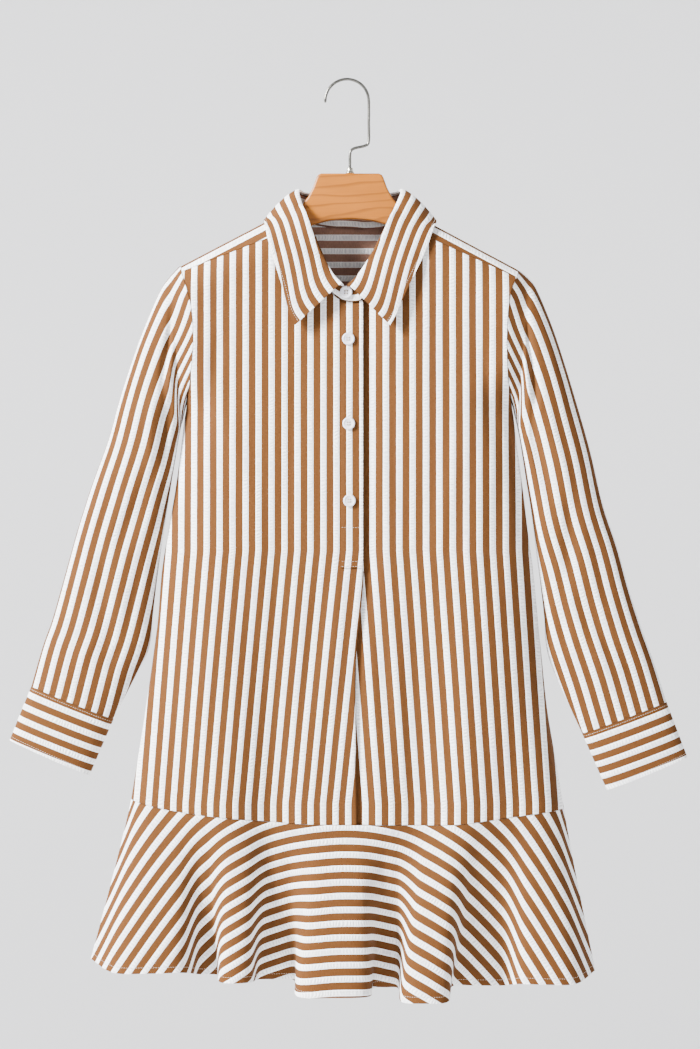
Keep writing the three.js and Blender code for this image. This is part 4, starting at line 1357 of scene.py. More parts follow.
@dataclass
class Collar:
    """The collar's stand and leaf.

    Attributes:
        finishes: the scene's finishes.
    """

    finishes: Finishes

    def build(self) -> None:
        """Build both pieces."""
        self.leaf = self._leaf()
        self.stand = self._stand()
        piece = self.leaf.build("collar_leaf_cloth", self.finishes.walls)
        cloth_piece(piece, "collar_leaf")
        piece = self.stand.build("collar_stand_cloth", self.finishes.walls)
        cloth_piece(piece, "collar_stand")

    def _leaf(self) -> Wall:
        """The leaf: up from the stand's top, over the roll and down to the edge."""
        turns = np.linspace(0, 2, 181)
        lines = NeckLines(turns)
        step = 0.02
        ahead = unit(NeckLines(np.minimum(2, turns + step)).top - NeckLines(np.maximum(0, turns - step)).top)
        up = unit(lines.top - lines.seam)
        out = unit(np.cross(ahead, up))
        start = lines.top + up * LEAF_LIFT
        end = smooth((np.abs(turns - 1) - LEAF_ENDS_FROM) / (1 - LEAF_ENDS_FROM))[:, None]
        start[:, 1] -= LEAF_ENDS_FORWARD * end[:, 0]
        rise = start + up * LEAF_ROLL
        turn = start + out * lerp(LEAF_STANDS_OFF, LEAF_ENDS_STAND_OFF, end) + up * LEAF_ROLL / 2
        turn = lerp(turn, lines.edge, lerp(LEAF_LEANS, LEAF_ENDS_LEAN, end))
        parts = np.linspace(0, 1, 40)[:, None, None]
        grid = (
            (1 - parts) ** 3 * start + 3 * (1 - parts) ** 2 * parts * rise + 3 * (1 - parts) * parts**2 * turn
            + parts**3 * lines.edge
        )  # fmt: skip
        down = travelled(grid, 0)
        grid = outside_body(grid, LEAF_CLEAR, np.broadcast_to(parts[..., 0] > 0.3, grid.shape[:2]))
        along = np.broadcast_to(travelled(lines.top[None], 1), down.shape)
        roll = down[5]
        front = np.minimum(turns, 2 - turns)
        left_slip = 0.98 * smooth((0.5 - front) / 0.5)
        right_slip = 1.4 * smooth((0.45 - front) / 0.45)
        slip = np.where(turns > 1, left_slip, right_slip)
        weave = np.stack([down - roll - (0.62 + slip) * PITCH, along], axis=-1)
        return Wall(grid, weave, thickness=1.5)

    def _stand(self) -> Wall:
        """The stand, whose left end laps over the right one."""
        turns = np.linspace(0, 2, 181)
        turns = turns[turns < STAND_LEFT_STOPS]
        lines = NeckLines(turns)
        step = 0.02
        along = unit(NeckLines(np.minimum(2, turns + step)).seam - NeckLines(np.maximum(0, turns - step)).seam)
        inwards = lines.top - lines.seam
        inwards = unit(inwards - along * np.sum(inwards * along, axis=-1, keepdims=True))
        seam = lines.seam + inwards * STAND_LIFT
        right, left = self._stand_end(Side.RIGHT, 8), self._stand_end(Side.LEFT, 24)
        seam = np.concatenate([right[0], seam, left[0]])
        top = np.concatenate([right[1], lines.top, left[1]])
        parts = np.linspace(1, 0, 12)[:, None, None]
        grid = lerp(seam, top, parts)
        height = travelled(grid[::-1], 0)[::-1]
        run = np.broadcast_to(travelled(seam[None], 1), height.shape)
        return Wall(grid, np.stack([height - 11.5, run], axis=-1), thickness=1.0)

    @staticmethod
    def _stand_end(side: Side, count: int) -> tuple[Array, Array]:
        """The stand's end past the leaf, as a smooth line through its rows.

        Args:
            side: which end.
            count: how many points it has.

        Returns:
            The points of the seam and of the top.
        """
        rows = curves("row seam_x seam_z top_x top_z out", STAND_ENDS[side])
        at = np.linspace(0, 1, count)
        out = rows["out"](at)
        seam = np.stack([rows["seam_x"](at), -out, rows["seam_z"](at)], axis=-1)
        return seam, np.stack([rows["top_x"](at), -out - 0.5, rows["top_z"](at)], axis=-1)


# Sleeves and cuffs

SLEEVES = {
    Side.LEFT: [
        (205, -224, 192.5, -391, 24), (218, -243, 194.5, -397, 26), (238.5, -291, 197.5, -412, 27),
        (253, -332, 201, -434, 27), (265, -370, 205, -458, 26), (277, -413, 210, -489, 25),
        (295.6, -464, 216, -528, 23), (312, -515, 222, -572, 22), (326.6, -567, 226.5, -610, 21),
        (341, -618, 231, -650, 20), (352, -649, 243, -676, 19), (365.5, -695.5, 272, -733, 16),
    ],
    Side.RIGHT: [
        (203.5, -226, 191, -391, 24), (214, -240, 192.5, -397, 26), (232, -283, 195.5, -412, 27),
        (247, -328, 199, -434, 27), (260, -371, 203, -460, 26), (275.4, -425, 208.5, -494, 25),
        (290, -487, 214.5, -540, 23), (306, -535, 219.5, -580, 22), (320, -585, 223.5, -616, 21),
        (334, -628, 226, -650, 20), (348, -667, 236, -682, 19), (363, -713.5, 267, -749.5, 16),
    ],
}  # fmt: skip
CUFFS = {Side.LEFT: (390.5, -757.5, 299.5, -797.5, 15), Side.RIGHT: (387, -777, 295.5, -814.5, 15)}
SLEEVE_LENGTH = 520.0
SLEEVE_GIRTH = 120.0
CREASE_TAKES_UP = 0.45
CAP_SLANT = 30.0
CAP_SLANT_FADES = 75.0
# Creases of the front of each sleeve: millimetres along it from the cap, and round it from its outer edge
SLEEVE_CREASES = {
    Side.LEFT: [
        Crease((10, 36), (88, 66), -5, 9),
        Crease((73, 86), (177, 103), -8, 11),
        Crease((218, 96), (322, 60), -4, 14),
        Crease((343, 42), (447, 72), -3.5, 14),
        Crease((20, 62), (120, 96), 2.6, 7),
        Crease((120, 58), (230, 82), 2, 9),
        Crease((196, 104), (262, 84), 2.4, 7),
        Crease((262, 34), (340, 30), -2, 9),
        Crease((330, 96), (420, 92), -2.6, 8),
        Crease((400, 60), (500, 50), 2.2, 9),
        Crease((440, 88), (512, 84), -2.2, 7),
        Crease((60, 18), (150, 22), 1.4, 8),
    ],
    Side.RIGHT: [
        Crease((15, 42), (114, 74), -6, 9),
        Crease((94, 96), (239, 89), -8, 11),
        Crease((260, 54), (343, 84), -4, 14),
        Crease((364, 72), (457, 43), -3.5, 14),
        Crease((30, 70), (130, 104), 2.6, 7),
        Crease((150, 60), (260, 52), 2, 9),
        Crease((230, 100), (300, 104), 2.4, 7),
        Crease((300, 28), (380, 34), -2, 9),
        Crease((350, 96), (430, 98), -2.6, 8),
        Crease((420, 62), (500, 66), 2.2, 9),
        Crease((450, 30), (512, 36), -2, 7),
        Crease((60, 16), (170, 20), 1.4, 8),
    ],
}


def ring_points(side: Side, row: dict[str, Array], angle: Array) -> Array:
    """Points round a sleeve's section: angle 0 is the outer edge and a quarter turn the front.

    Args:
        side: the sleeve's side.
        row: the outer and inner edge points and half the depth.
        angle: the places round it.

    Returns:
        The points.
    """
    reach = (1 + np.cos(angle)) / 2
    bulge = np.sign(np.sin(angle)) * np.abs(np.sin(angle)) ** 0.8
    x = side.sign * lerp(row["in_x"], row["out_x"], reach)
    return np.stack(np.broadcast_arrays(x, -row["deep"] * bulge, lerp(row["in_z"], row["out_z"], reach)), axis=-1)


def along_edge(grid: Array, edge: Array) -> tuple[Array, Array]:
    """How far each point of a grid lies from an edge line, and how far along it, both seen from the front.

    Args:
        grid: the points.
        edge: the line's points.

    Returns:
        The two distances.
    """
    flat, line = grid[..., [0, 2]], edge[:, [0, 2]]
    run = np.diff(line, axis=0)
    length = np.linalg.norm(run, axis=-1)
    passed = np.concatenate([[0], np.cumsum(length)[:-1]])
    to = flat[..., None, :] - line[:-1]
    share = np.clip(np.sum(to * run, axis=-1) / length**2, 0, 1)
    away = np.linalg.norm(to - share[..., None] * run, axis=-1)
    nearest = np.argmin(away, axis=-1)[..., None]
    along = passed + share * length
    return np.take_along_axis(away, nearest, -1)[..., 0], np.take_along_axis(along, nearest, -1)[..., 0]


@dataclass
class Sleeve:
    """A sleeve and its cuff.

    Attributes:
        side: the side.
        finishes: the scene's finishes.
        around: how many points a section has.
    """

    side: Side
    finishes: Finishes
    around: int = 84

    def build(self) -> None:
        """Build the sleeve and the cuff."""
        name = self.side.value
        self.sleeve, self.cuff = self._sleeve(), self._cuff()
        sleeve = self.sleeve.build(f"sleeve_{name}_cloth", self.finishes.walls)
        cloth_piece(sleeve, f"sleeve_{name}")
        piece = self.cuff.build(f"cuff_{name}_cloth", self.finishes.walls)
        cloth_piece(piece, f"cuff_{name}")

    def _angles(self) -> Array:
        """The places round a section, from the inner edge over the outer edge."""
        return math.pi - self.side.sign * 2 * math.pi * np.arange(self.around) / self.around

    def _sleeve(self) -> Wall:
        """The sleeve, from the armhole to the cuff."""
        angles = self._angles()
        top, low = float(shoulder_z(np.array(self.side.sign * 192.0))), UNDERARM_Z + 1.2
        z = lerp(low, top, (1 + np.cos(angles)) / 2)
        x = self.side.sign * half_width(self.side, z)
        front = np.sin(angles) > 0
        depth = np.where(front, wall_depth(Face.FRONT, x, z), wall_depth(Face.BACK, x, z))
        clear = 2.4 * SEAM_GAP + 1.2 * smooth((UNDERARM_Z + 40 - z) / 40)
        armhole = np.stack([x + self.side.sign * clear, np.where(front, -depth, depth), z], axis=-1)
        along = np.linspace(0, 1, 130)[:, None]
        row = {name: curve(along) for name, curve in curves("row out_x out_z in_x in_z deep", SLEEVES[self.side]).items()}
        round_it = (1 - np.cos(angles))[None] / 2 * SLEEVE_GIRTH
        facing = np.abs(np.sin(angles))[None]
        fade = facing * smooth((1 - along) * 8)
        lift = lifted(SLEEVE_CREASES[self.side], along * SLEEVE_LENGTH, round_it) * fade
        between = np.linspace(0, 1, 6)[1:-1, None, None]
        plain = row["deep"]
        surfaces = []
        for share in (1.0, CREASE_TAKES_UP):
            row["deep"] = plain + lift * share
            sections = ring_points(self.side, row, angles[None])
            cap = lerp(armhole[None], sections[:1], between)
            surfaces.append(np.concatenate([armhole[None], cap, sections]))
        grid, calm = surfaces
        away, run = along_edge(calm, calm[:, self.around // 2])
        way = travelled(np.stack([away, calm[..., 1]], axis=-1), 1)
        way = way - way[:, [self.around // 2]]
        below_cap = np.concatenate([np.zeros((len(between) + 1, 1)), along * SLEEVE_LENGTH])
        under = smooth(((1 - np.cos(angles))[None] / 2 - 0.35) / 0.65)
        way = way + np.sign(way) * CAP_SLANT * under * (1 - smooth(below_cap / CAP_SLANT_FADES))
        return Wall(grid, np.stack([way - 3.2, run], axis=-1), ring=True, flat_normal=self._cap_normals)

    @staticmethod
    def _cap_normals(normals: Array, grid: Array) -> Array:
        """Keep the normals at the armhole in its plane."""
        turned = normals.copy()
        turned[0, :, 0] = 0
        return turned

    def _cuff(self) -> Wall:
        """The cuff, straight down from the sleeve's end, with its stripes round it."""
        angles = self._angles()
        names = ("out_x", "out_z", "in_x", "in_z", "deep")
        top = np.array(SLEEVES[self.side][-1], float)
        bottom = np.array(CUFFS[self.side], float)
        drop = unit(bottom[:2] - top[:2]) * 2 * SEAM_GAP
        start = top + np.array([*drop, *drop, 0])
        part = np.linspace(0, 1, 18)[:, None]
        row = {name: lerp(start[i], bottom[i], part) for i, name in enumerate(names)}
        row["deep"] = row["deep"] + 0.9 * np.sin(math.pi * part) ** 2
        grid = ring_points(self.side, row, angles[None])
        down = travelled(grid, 0)
        weave = np.stack([down * PITCH / 14.6 - 16.8, travelled(grid, 1)], axis=-1)
        return Wall(grid, weave, ring=True, thickness=1.1)


# Flounce

FLOUNCES = {
    Face.FRONT: [
        (-299, -296, -0.4, -1009), (-268, -190, -42, -1019), (-172, -154, 8, -1028), (-146, -114, -48, -1029),
        (-104, -66, 10, -1034), (-58, 20, -56, -1044), (28, 54, 8, -1043), (60, 109, -58, -1050),
        (119, 172, 8, -1041), (196, 256, -40, -1032), (280, 283, -0.4, -1022),
    ],
    Face.BACK: [
        (283, 280, 0.4, -1022), (250, 205, 56, -1030), (182, 140, 26, -1038), (118, 62, 66, -1042),
        (40, 4, 25, -1042), (-18, -82, 68, -1040), (-104, -142, 26, -1034), (-168, -214, 62, -1026),
        (-240, -262, 36, -1016), (-296, -299, 0.4, -1009),
    ],
}  # fmt: skip
FLOUNCE_RADIUS = 213.0
FLOUNCE_HALF_ANGLE = math.radians(70)
FLOUNCE_DEEP = 195.0
FLOUNCE_PITCH = 15.6


def centripetal(points: Array, count: int) -> Array:
    """Evenly spaced points on a centripetal Catmull-Rom curve.

    Args:
        points: the points that the curve passes through.
        count: how many to make.

    Returns:
        The points, at equal ways along the curve.
    """
    first, last = 2 * points[0] - points[1], 2 * points[-1] - points[-2]
    p = np.concatenate([[first], points, [last]])
    fine = []
    for i in range(1, len(p) - 2):
        knots = np.concatenate([[0], np.cumsum(np.sqrt(np.linalg.norm(np.diff(p[i - 1 : i + 3], axis=0), axis=-1)))])
        t = np.linspace(knots[1], knots[2], 60, endpoint=i == len(p) - 3)[:, None]
        a = [lerp(p[i - 1 + k], p[i + k], (t - knots[k]) / (knots[k + 1] - knots[k])) for k in range(3)]
        b = [lerp(a[k], a[k + 1], (t - knots[k]) / (knots[k + 2] - knots[k])) for k in range(2)]
        fine.append(lerp(b[0], b[1], (t - knots[1]) / (knots[2] - knots[1])))
    fine = np.concatenate(fine)
    way = travelled(fine[None], 1)[0]
    even = np.linspace(0, way[-1], count)
    return np.stack([np.interp(even, way, fine[:, k]) for k in range(3)], axis=-1)


@dataclass
class Flounce:
    """The flounce on one face: a ring sector sewn by its inner arc to the straight hem, so that it waves.

    Attributes:
        face: the front or the back.
        finishes: the scene's finishes.
        columns: how many steps it has across.
    """

    face: Face
    finishes: Finishes
    columns: int = 330

    def build(self) -> None:
        """Build the flounce."""
        name = self.face.value
        self.wall = self._wall()
        piece = self.wall.build(f"flounce_{name}_cloth", self.finishes.walls)
        cloth_piece(piece, f"flounce_{name}")

    def _wall(self) -> Wall:
        """The cloth from the hem seam to the waving hem."""
        left, right = -half_width(Side.LEFT, -824.6), half_width(Side.RIGHT, -834.9)
        x = np.linspace(left, right, 60)
        if self.face is Face.BACK:
            x = x[::-1]
        z = HEM_SEAM(x) - SEAM_GAP - 0.3
        top = centripetal(body_point(self.face, x, z, creased=False), self.columns + 1)
        low = centripetal(self._crests(), self.columns + 1)
        part = np.linspace(0, 1, 40)[:, None]
        shares = (part**1.08, part**1.25, part)
        grid = np.stack([lerp(top[:, i], low[:, i], share) for i, share in enumerate(shares)], axis=-1)
        angle = np.interp(np.linspace(0, 1, self.columns + 1), [0, 0.5, 1], [-1, 0, 1]) * FLOUNCE_HALF_ANGLE
        radius = FLOUNCE_RADIUS + FLOUNCE_DEEP * part
        across = (radius * np.cos(angle) - FLOUNCE_RADIUS) * PITCH / FLOUNCE_PITCH - 9.3
        return Wall(grid, np.stack([across, radius * np.sin(angle)], axis=-1), flat_normal=self._seam_normals)

    def _crests(self) -> Array:
        """The points of the hem's waves."""
        points = []
        for start, end, y, z in FLOUNCES[self.face]:
            if abs(end - start) > 10:
                points += [(start, y * 0.86, z), ((start + end) / 2, y, z), (end, y * 0.86, z)]
            else:
                points.append(((start + end) / 2, y, z))
        return np.array(points, float)

    @staticmethod
    def _seam_normals(normals: Array, grid: Array) -> Array:
        """Keep the normals at the side seams along X and Z."""
        turned = normals.copy()
        turned[:, [0, -1], 1] = 0
        return turned


# Sewing


@dataclass
class Sewing:
    """Rows of stitches, placed along their lines by a Geometry Nodes tree.

    Attributes:
        finishes: the scene's finishes.
        spacing: the way from one stitch to the next, in metres.
        length: a stitch's length, in metres.
        width: its width, in metres.
    """

    finishes: Finishes
    spacing: float = 0.0028
    length: float = 0.0022
    width: float = 0.0004

    def sew(self, name: str, lines: Sequence[Array]) -> bpy.types.Object:
        """Sew along lines.

        Args:
            name: the name of the stitches' object.
            lines: the lines' points, in millimetres.

        Returns:
            The stitches.
        """
        curve = bpy.data.curves.new(f"{name}_path", "CURVE")
        curve.dimensions = "3D"
        for line in lines:
            spline = curve.splines.new("POLY")
            spline.points.add(len(line) - 1)
            flat = np.concatenate([line * MM, np.ones((len(line), 1))], axis=1)
            spline.points.foreach_set("co", flat.reshape(-1))
        path = bpy.data.objects.new(f"{name}_path", curve)
        bpy.context.scene.collection.objects.link(path)
        modifier = path.modifiers.new("stitches", "NODES")
        tree = self._tree()
        modifier.node_group = tree
        values = {"Spacing": self.spacing, "Length": self.length, "Width": self.width, "Seed": 7}
        for socket in tree.interface.items_tree:
            if socket.item_type == "SOCKET" and socket.in_out == "INPUT" and socket.name in values:
                modifier[socket.identifier] = values[socket.name]
        graph = bpy.context.evaluated_depsgraph_get()
        mesh = bpy.data.meshes.new_from_object(path.evaluated_get(graph), depsgraph=graph)
        mesh.name = name
        bpy.data.objects.remove(path)
        if not mesh.materials:
            mesh.materials.append(self.finishes.thread)
        stitches = as_object(mesh, name)
        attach(stitches, "root")
        LOG.info("%s: %d faces", name, len(mesh.polygons))
        return stitches

    def _tree(self) -> bpy.types.NodeTree:
        """The tree that lays a stitch at each step of a line.

        Returns:
            The tree, with its inputs named.
        """
        tree = bpy.data.node_groups.new("stitches along a line", "GeometryNodeTree")
        tree.interface.new_socket("Geometry", in_out="INPUT", socket_type="NodeSocketGeometry")
        for name, kind in (("Spacing", "Float"), ("Length", "Float"), ("Width", "Float"), ("Seed", "Int")):
            tree.interface.new_socket(name, in_out="INPUT", socket_type=f"NodeSocket{kind}")
        tree.interface.new_socket("Geometry", in_out="OUTPUT", socket_type="NodeSocketGeometry")
        nodes, link = tree.nodes, tree.links.new
        given, result = nodes.new("NodeGroupInput"), nodes.new("NodeGroupOutput")
        resample = nodes.new("GeometryNodeResampleCurve")
        resample.mode = "LENGTH"
        link(given.outputs["Geometry"], resample.inputs["Curve"])
        link(given.outputs["Spacing"], resample.inputs["Length"])
        ball = nodes.new("GeometryNodeMeshIcoSphere")
        ball.inputs["Radius"].default_value = 0.5
        ball.inputs["Subdivisions"].default_value = 1
        tangent = nodes.new("GeometryNodeInputTangent")
        align = nodes.new("FunctionNodeAlignEulerToVector")
        align.axis = "Z"
        link(tangent.outputs[0], align.inputs["Vector"])
        place = nodes.new("GeometryNodeInstanceOnPoints")
        link(resample.outputs["Curve"], place.inputs["Points"])
        link(ball.outputs["Mesh"], place.inputs["Instance"])
        link(align.outputs["Rotation"], place.inputs["Rotation"])
        uneven = nodes.new("FunctionNodeRandomValue")
        uneven.data_type = "FLOAT"
        uneven.inputs[2].default_value = 0.85
        uneven.inputs[3].default_value = 1.15
        link(given.outputs["Seed"], uneven.inputs["Seed"])
        stretch = nodes.new("ShaderNodeMath")
        stretch.operation = "MULTIPLY"
        link(given.outputs["Length"], stretch.inputs[0])
        link(uneven.outputs[1], stretch.inputs[1])
        size = nodes.new("ShaderNodeCombineXYZ")
        link(given.outputs["Width"], size.inputs[0])
        link(given.outputs["Width"], size.inputs[1])
        link(stretch.outputs[0], size.inputs[2])
        link(size.outputs[0], place.inputs["Scale"])
        real = nodes.new("GeometryNodeRealizeInstances")
        link(place.outputs[0], real.inputs[0])
        paint = nodes.new("GeometryNodeSetMaterial")
        paint.inputs["Material"].default_value = self.finishes.thread
        link(real.outputs[0], paint.inputs["Geometry"])
        link(paint.outputs[0], result.inputs["Geometry"])
        return tree

    @staticmethod
    def line_on(wall: Wall, rows: Array, columns: Array, lift: float = 0.15) -> Array:
        """A line on a wall's outside.

        Args:
            wall: the wall.
            rows: the line's rows, which may lie between the grid's.
            columns: its columns.
            lift: how far it lies above the cloth, in millimetres.

        Returns:
            The line's points.
        """
        outer = wall.grid + (wall.thickness / 2 + lift) * wall.normals()
        rows, columns = np.broadcast_arrays(np.asarray(rows, float), np.asarray(columns, float))
        count = wall.grid.shape[1]
        r = np.clip(rows.astype(int), 0, wall.grid.shape[0] - 2)
        c = columns.astype(int) if wall.ring else np.clip(columns.astype(int), 0, count - 2)
        fr, fc = (rows - r)[:, None], (columns - c)[:, None]
        a = lerp(outer[r, c % count], outer[r, (c + 1) % count], fc)
        b = lerp(outer[r + 1, c % count], outer[r + 1, (c + 1) % count], fc)
        return lerp(a, b, fr)


# Buttons

BUTTON_ACROSS = 14.2
BUTTON_THICK = 2.2
BUTTON_GAP = 0.35
HOLE_RING = 2.0
HOLE = 0.95
BUTTON_PROFILE = [
    (0, 1.5), (2.6, 1.5), (3.9, 1.55), (4.6, 1.75), (5.2, 2.08), (5.8, 2.2), (6.4, 2.1), (6.85, 1.75),
    (7.08, 1.25), (7.1, 0.9), (6.95, 0.45), (6.5, 0.12), (5.8, 0), (0, 0),
]  # fmt: skip


@dataclass
class Buttons:
    """The four buttons that show, on the stand and down the placket.

    Attributes:
        finishes: the scene's finishes.
    """

    finishes: Finishes

    def build(self) -> None:
        """Build every button and its thread."""
        places = {"button_1": (-1.8, -299), "button_2": (-1.4, -395.3), "button_3": (-0.6, -483)}
        for name, (x, z) in places.items():
            low = np.array(z - BUTTON_ACROSS / 2)
            out = float(wall_depth(Face.FRONT, np.array(x), low)) + SEAM_GAP / 2 + STRIP_LIFT + 0.6 + BUTTON_GAP
            self._button(name, x, z, out)
        self._button("button_stand", -4.4, -246, 32.1 + 0.5 + 0.6 + BUTTON_GAP)

    def _button(self, name: str, x: float, z: float, out: float) -> None:
        """One button, with four holes and two bars of thread.

        Args:
            name: its CAD node.
            x: its centre across.
            z: its centre's height.
            out: how far its underside lies in front of the middle plane.
        """
        disc = bmesh.new()
        rings = 48
        loops = []
        for radius, height in BUTTON_PROFILE:
            if radius == 0:
                loops.append([disc.verts.new((0, 0, height))])
                continue
            turn = [2 * math.pi * i / rings for i in range(rings)]
            loops.append([disc.verts.new((radius * math.cos(a), radius * math.sin(a), height)) for a in turn])
        for upper, lower in zip(loops, loops[1:]):
            for i in range(rings):
                j = (i + 1) % rings
                corners = [upper[i % len(upper)], lower[i % len(lower)], lower[j % len(lower)], upper[j % len(upper)]]
                disc.faces.new(list(dict.fromkeys(corners)))
        body = self._solid(disc, f"{name}_body")
        for i in range(4):
            angle = math.pi / 2 * (i + 0.5)
            drill = bmesh.new()
            bmesh.ops.create_cone(drill, cap_ends=True, segments=16, radius1=HOLE, radius2=HOLE, depth=6)
            bmesh.ops.translate(drill, vec=(HOLE_RING * math.cos(angle), HOLE_RING * math.sin(angle), 1), verts=drill.verts)
            cutter = self._solid(drill, f"{name}_drill")
            cut = body.modifiers.new("hole", "BOOLEAN")
            cut.operation = "DIFFERENCE"
            cut.object = cutter
            graph = bpy.context.evaluated_depsgraph_get()
            bored = bpy.data.meshes.new_from_object(body.evaluated_get(graph), depsgraph=graph)
            body.modifiers.clear()
            body.data = bored
            bpy.data.objects.remove(cutter)
        self._stand_up(body.data, x, z, out)
        made = as_object(body.data, f"{name}_shape")
        bpy.data.objects.remove(body)
        made.data.materials.clear()
        made.data.materials.append(self.finishes.button)
        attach(made, "root")
        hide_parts(name)
        self._thread(name, x, z, out)

    def _thread(self, name: str, x: float, z: float, out: float) -> None:
        """Two bars of thread through a button's holes.

        Args:
            name: the button's CAD node.
            x: its centre across.
            z: its centre's height.
            out: how far its underside lies in front of the middle plane.
        """
        reach = HOLE_RING * math.cos(math.pi / 4)
        bars = bmesh.new()
        for side in (-reach, reach):
            for shift in (-0.28, 0.28):
                path = [(-reach, 0.9), (-reach * 0.9, 1.6), (-reach * 0.4, 1.82), (reach * 0.4, 1.82), (reach * 0.9, 1.6), (reach, 0.9)]
                loops = []
                for along, height in path:
                    turn = [math.pi / 4 * i for i in range(8)]
                    ring = [(along, side + shift + 0.27 * math.cos(a), height + 0.27 * math.sin(a)) for a in turn]
                    loops.append([bars.verts.new(point) for point in ring])
                for a, b in zip(loops, loops[1:]):
                    for i in range(8):
                        bars.faces.new([a[i], a[(i + 1) % 8], b[(i + 1) % 8], b[i]])
                bars.faces.new(loops[0][::-1])
                bars.faces.new(loops[-1])
        bmesh.ops.recalc_face_normals(bars, faces=bars.faces)
        mesh = bpy.data.meshes.new(f"{name}_thread")
        bars.to_mesh(mesh)
        bars.free()
        self._stand_up(mesh, x, z, out)
        mesh.materials.append(self.finishes.thread)
        thread = as_object(mesh, f"{name}_thread")
        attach(thread, "root")

    @staticmethod
    def _solid(shape: bmesh.types.BMesh, name: str) -> bpy.types.Object:
        """An object from a closed shape, with its faces outward."""
        bmesh.ops.recalc_face_normals(shape, faces=shape.faces)
        mesh = bpy.data.meshes.new(name)
        shape.to_mesh(mesh)
        shape.free()
        return as_object(mesh, name, smooth_shading=False)

    @staticmethod
    def _stand_up(mesh: bpy.types.Mesh, x: float, z: float, out: float) -> None:
        """Turn a flat shape to face the front and move it to its place, in metres.

        Args:
            mesh: the shape, in millimetres, facing +Z.
            x: its centre across.
            z: its centre's height.
            out: how far its underside lies in front of the middle plane.
        """
        points = np.empty(len(mesh.vertices) * 3)
        mesh.vertices.foreach_get("co", points)
        a, b, height = points.reshape(-1, 3).T
        placed = np.stack([a + x, -height - out, b + z], axis=-1) * MM
        mesh.vertices.foreach_set("co", placed.reshape(-1))
        mesh.update()


# Hanger

WOOD_THICK = 12.0
WOOD_ROUND = 2.6
WOOD_ARM_FROM = 108.0
WOOD_ARM_REACH = 181.0
HOOK_CENTRE = (-3.45, -23.3)
HOOK_PAST_HALF = 0.08
HOOK_RADIUS = 25.0
WIRE_RADIUS = 1.7
FERRULE_PROFILE = [
    (2.0, -106.55), (4.6, -106.55), (5.0, -106.2), (5.0, -105.5), (4.5, -104.9), (3.7, -104.4), (3.6, -101.2),
    (3.3, -100.5), (2.0, -100.45),
]  # fmt: skip


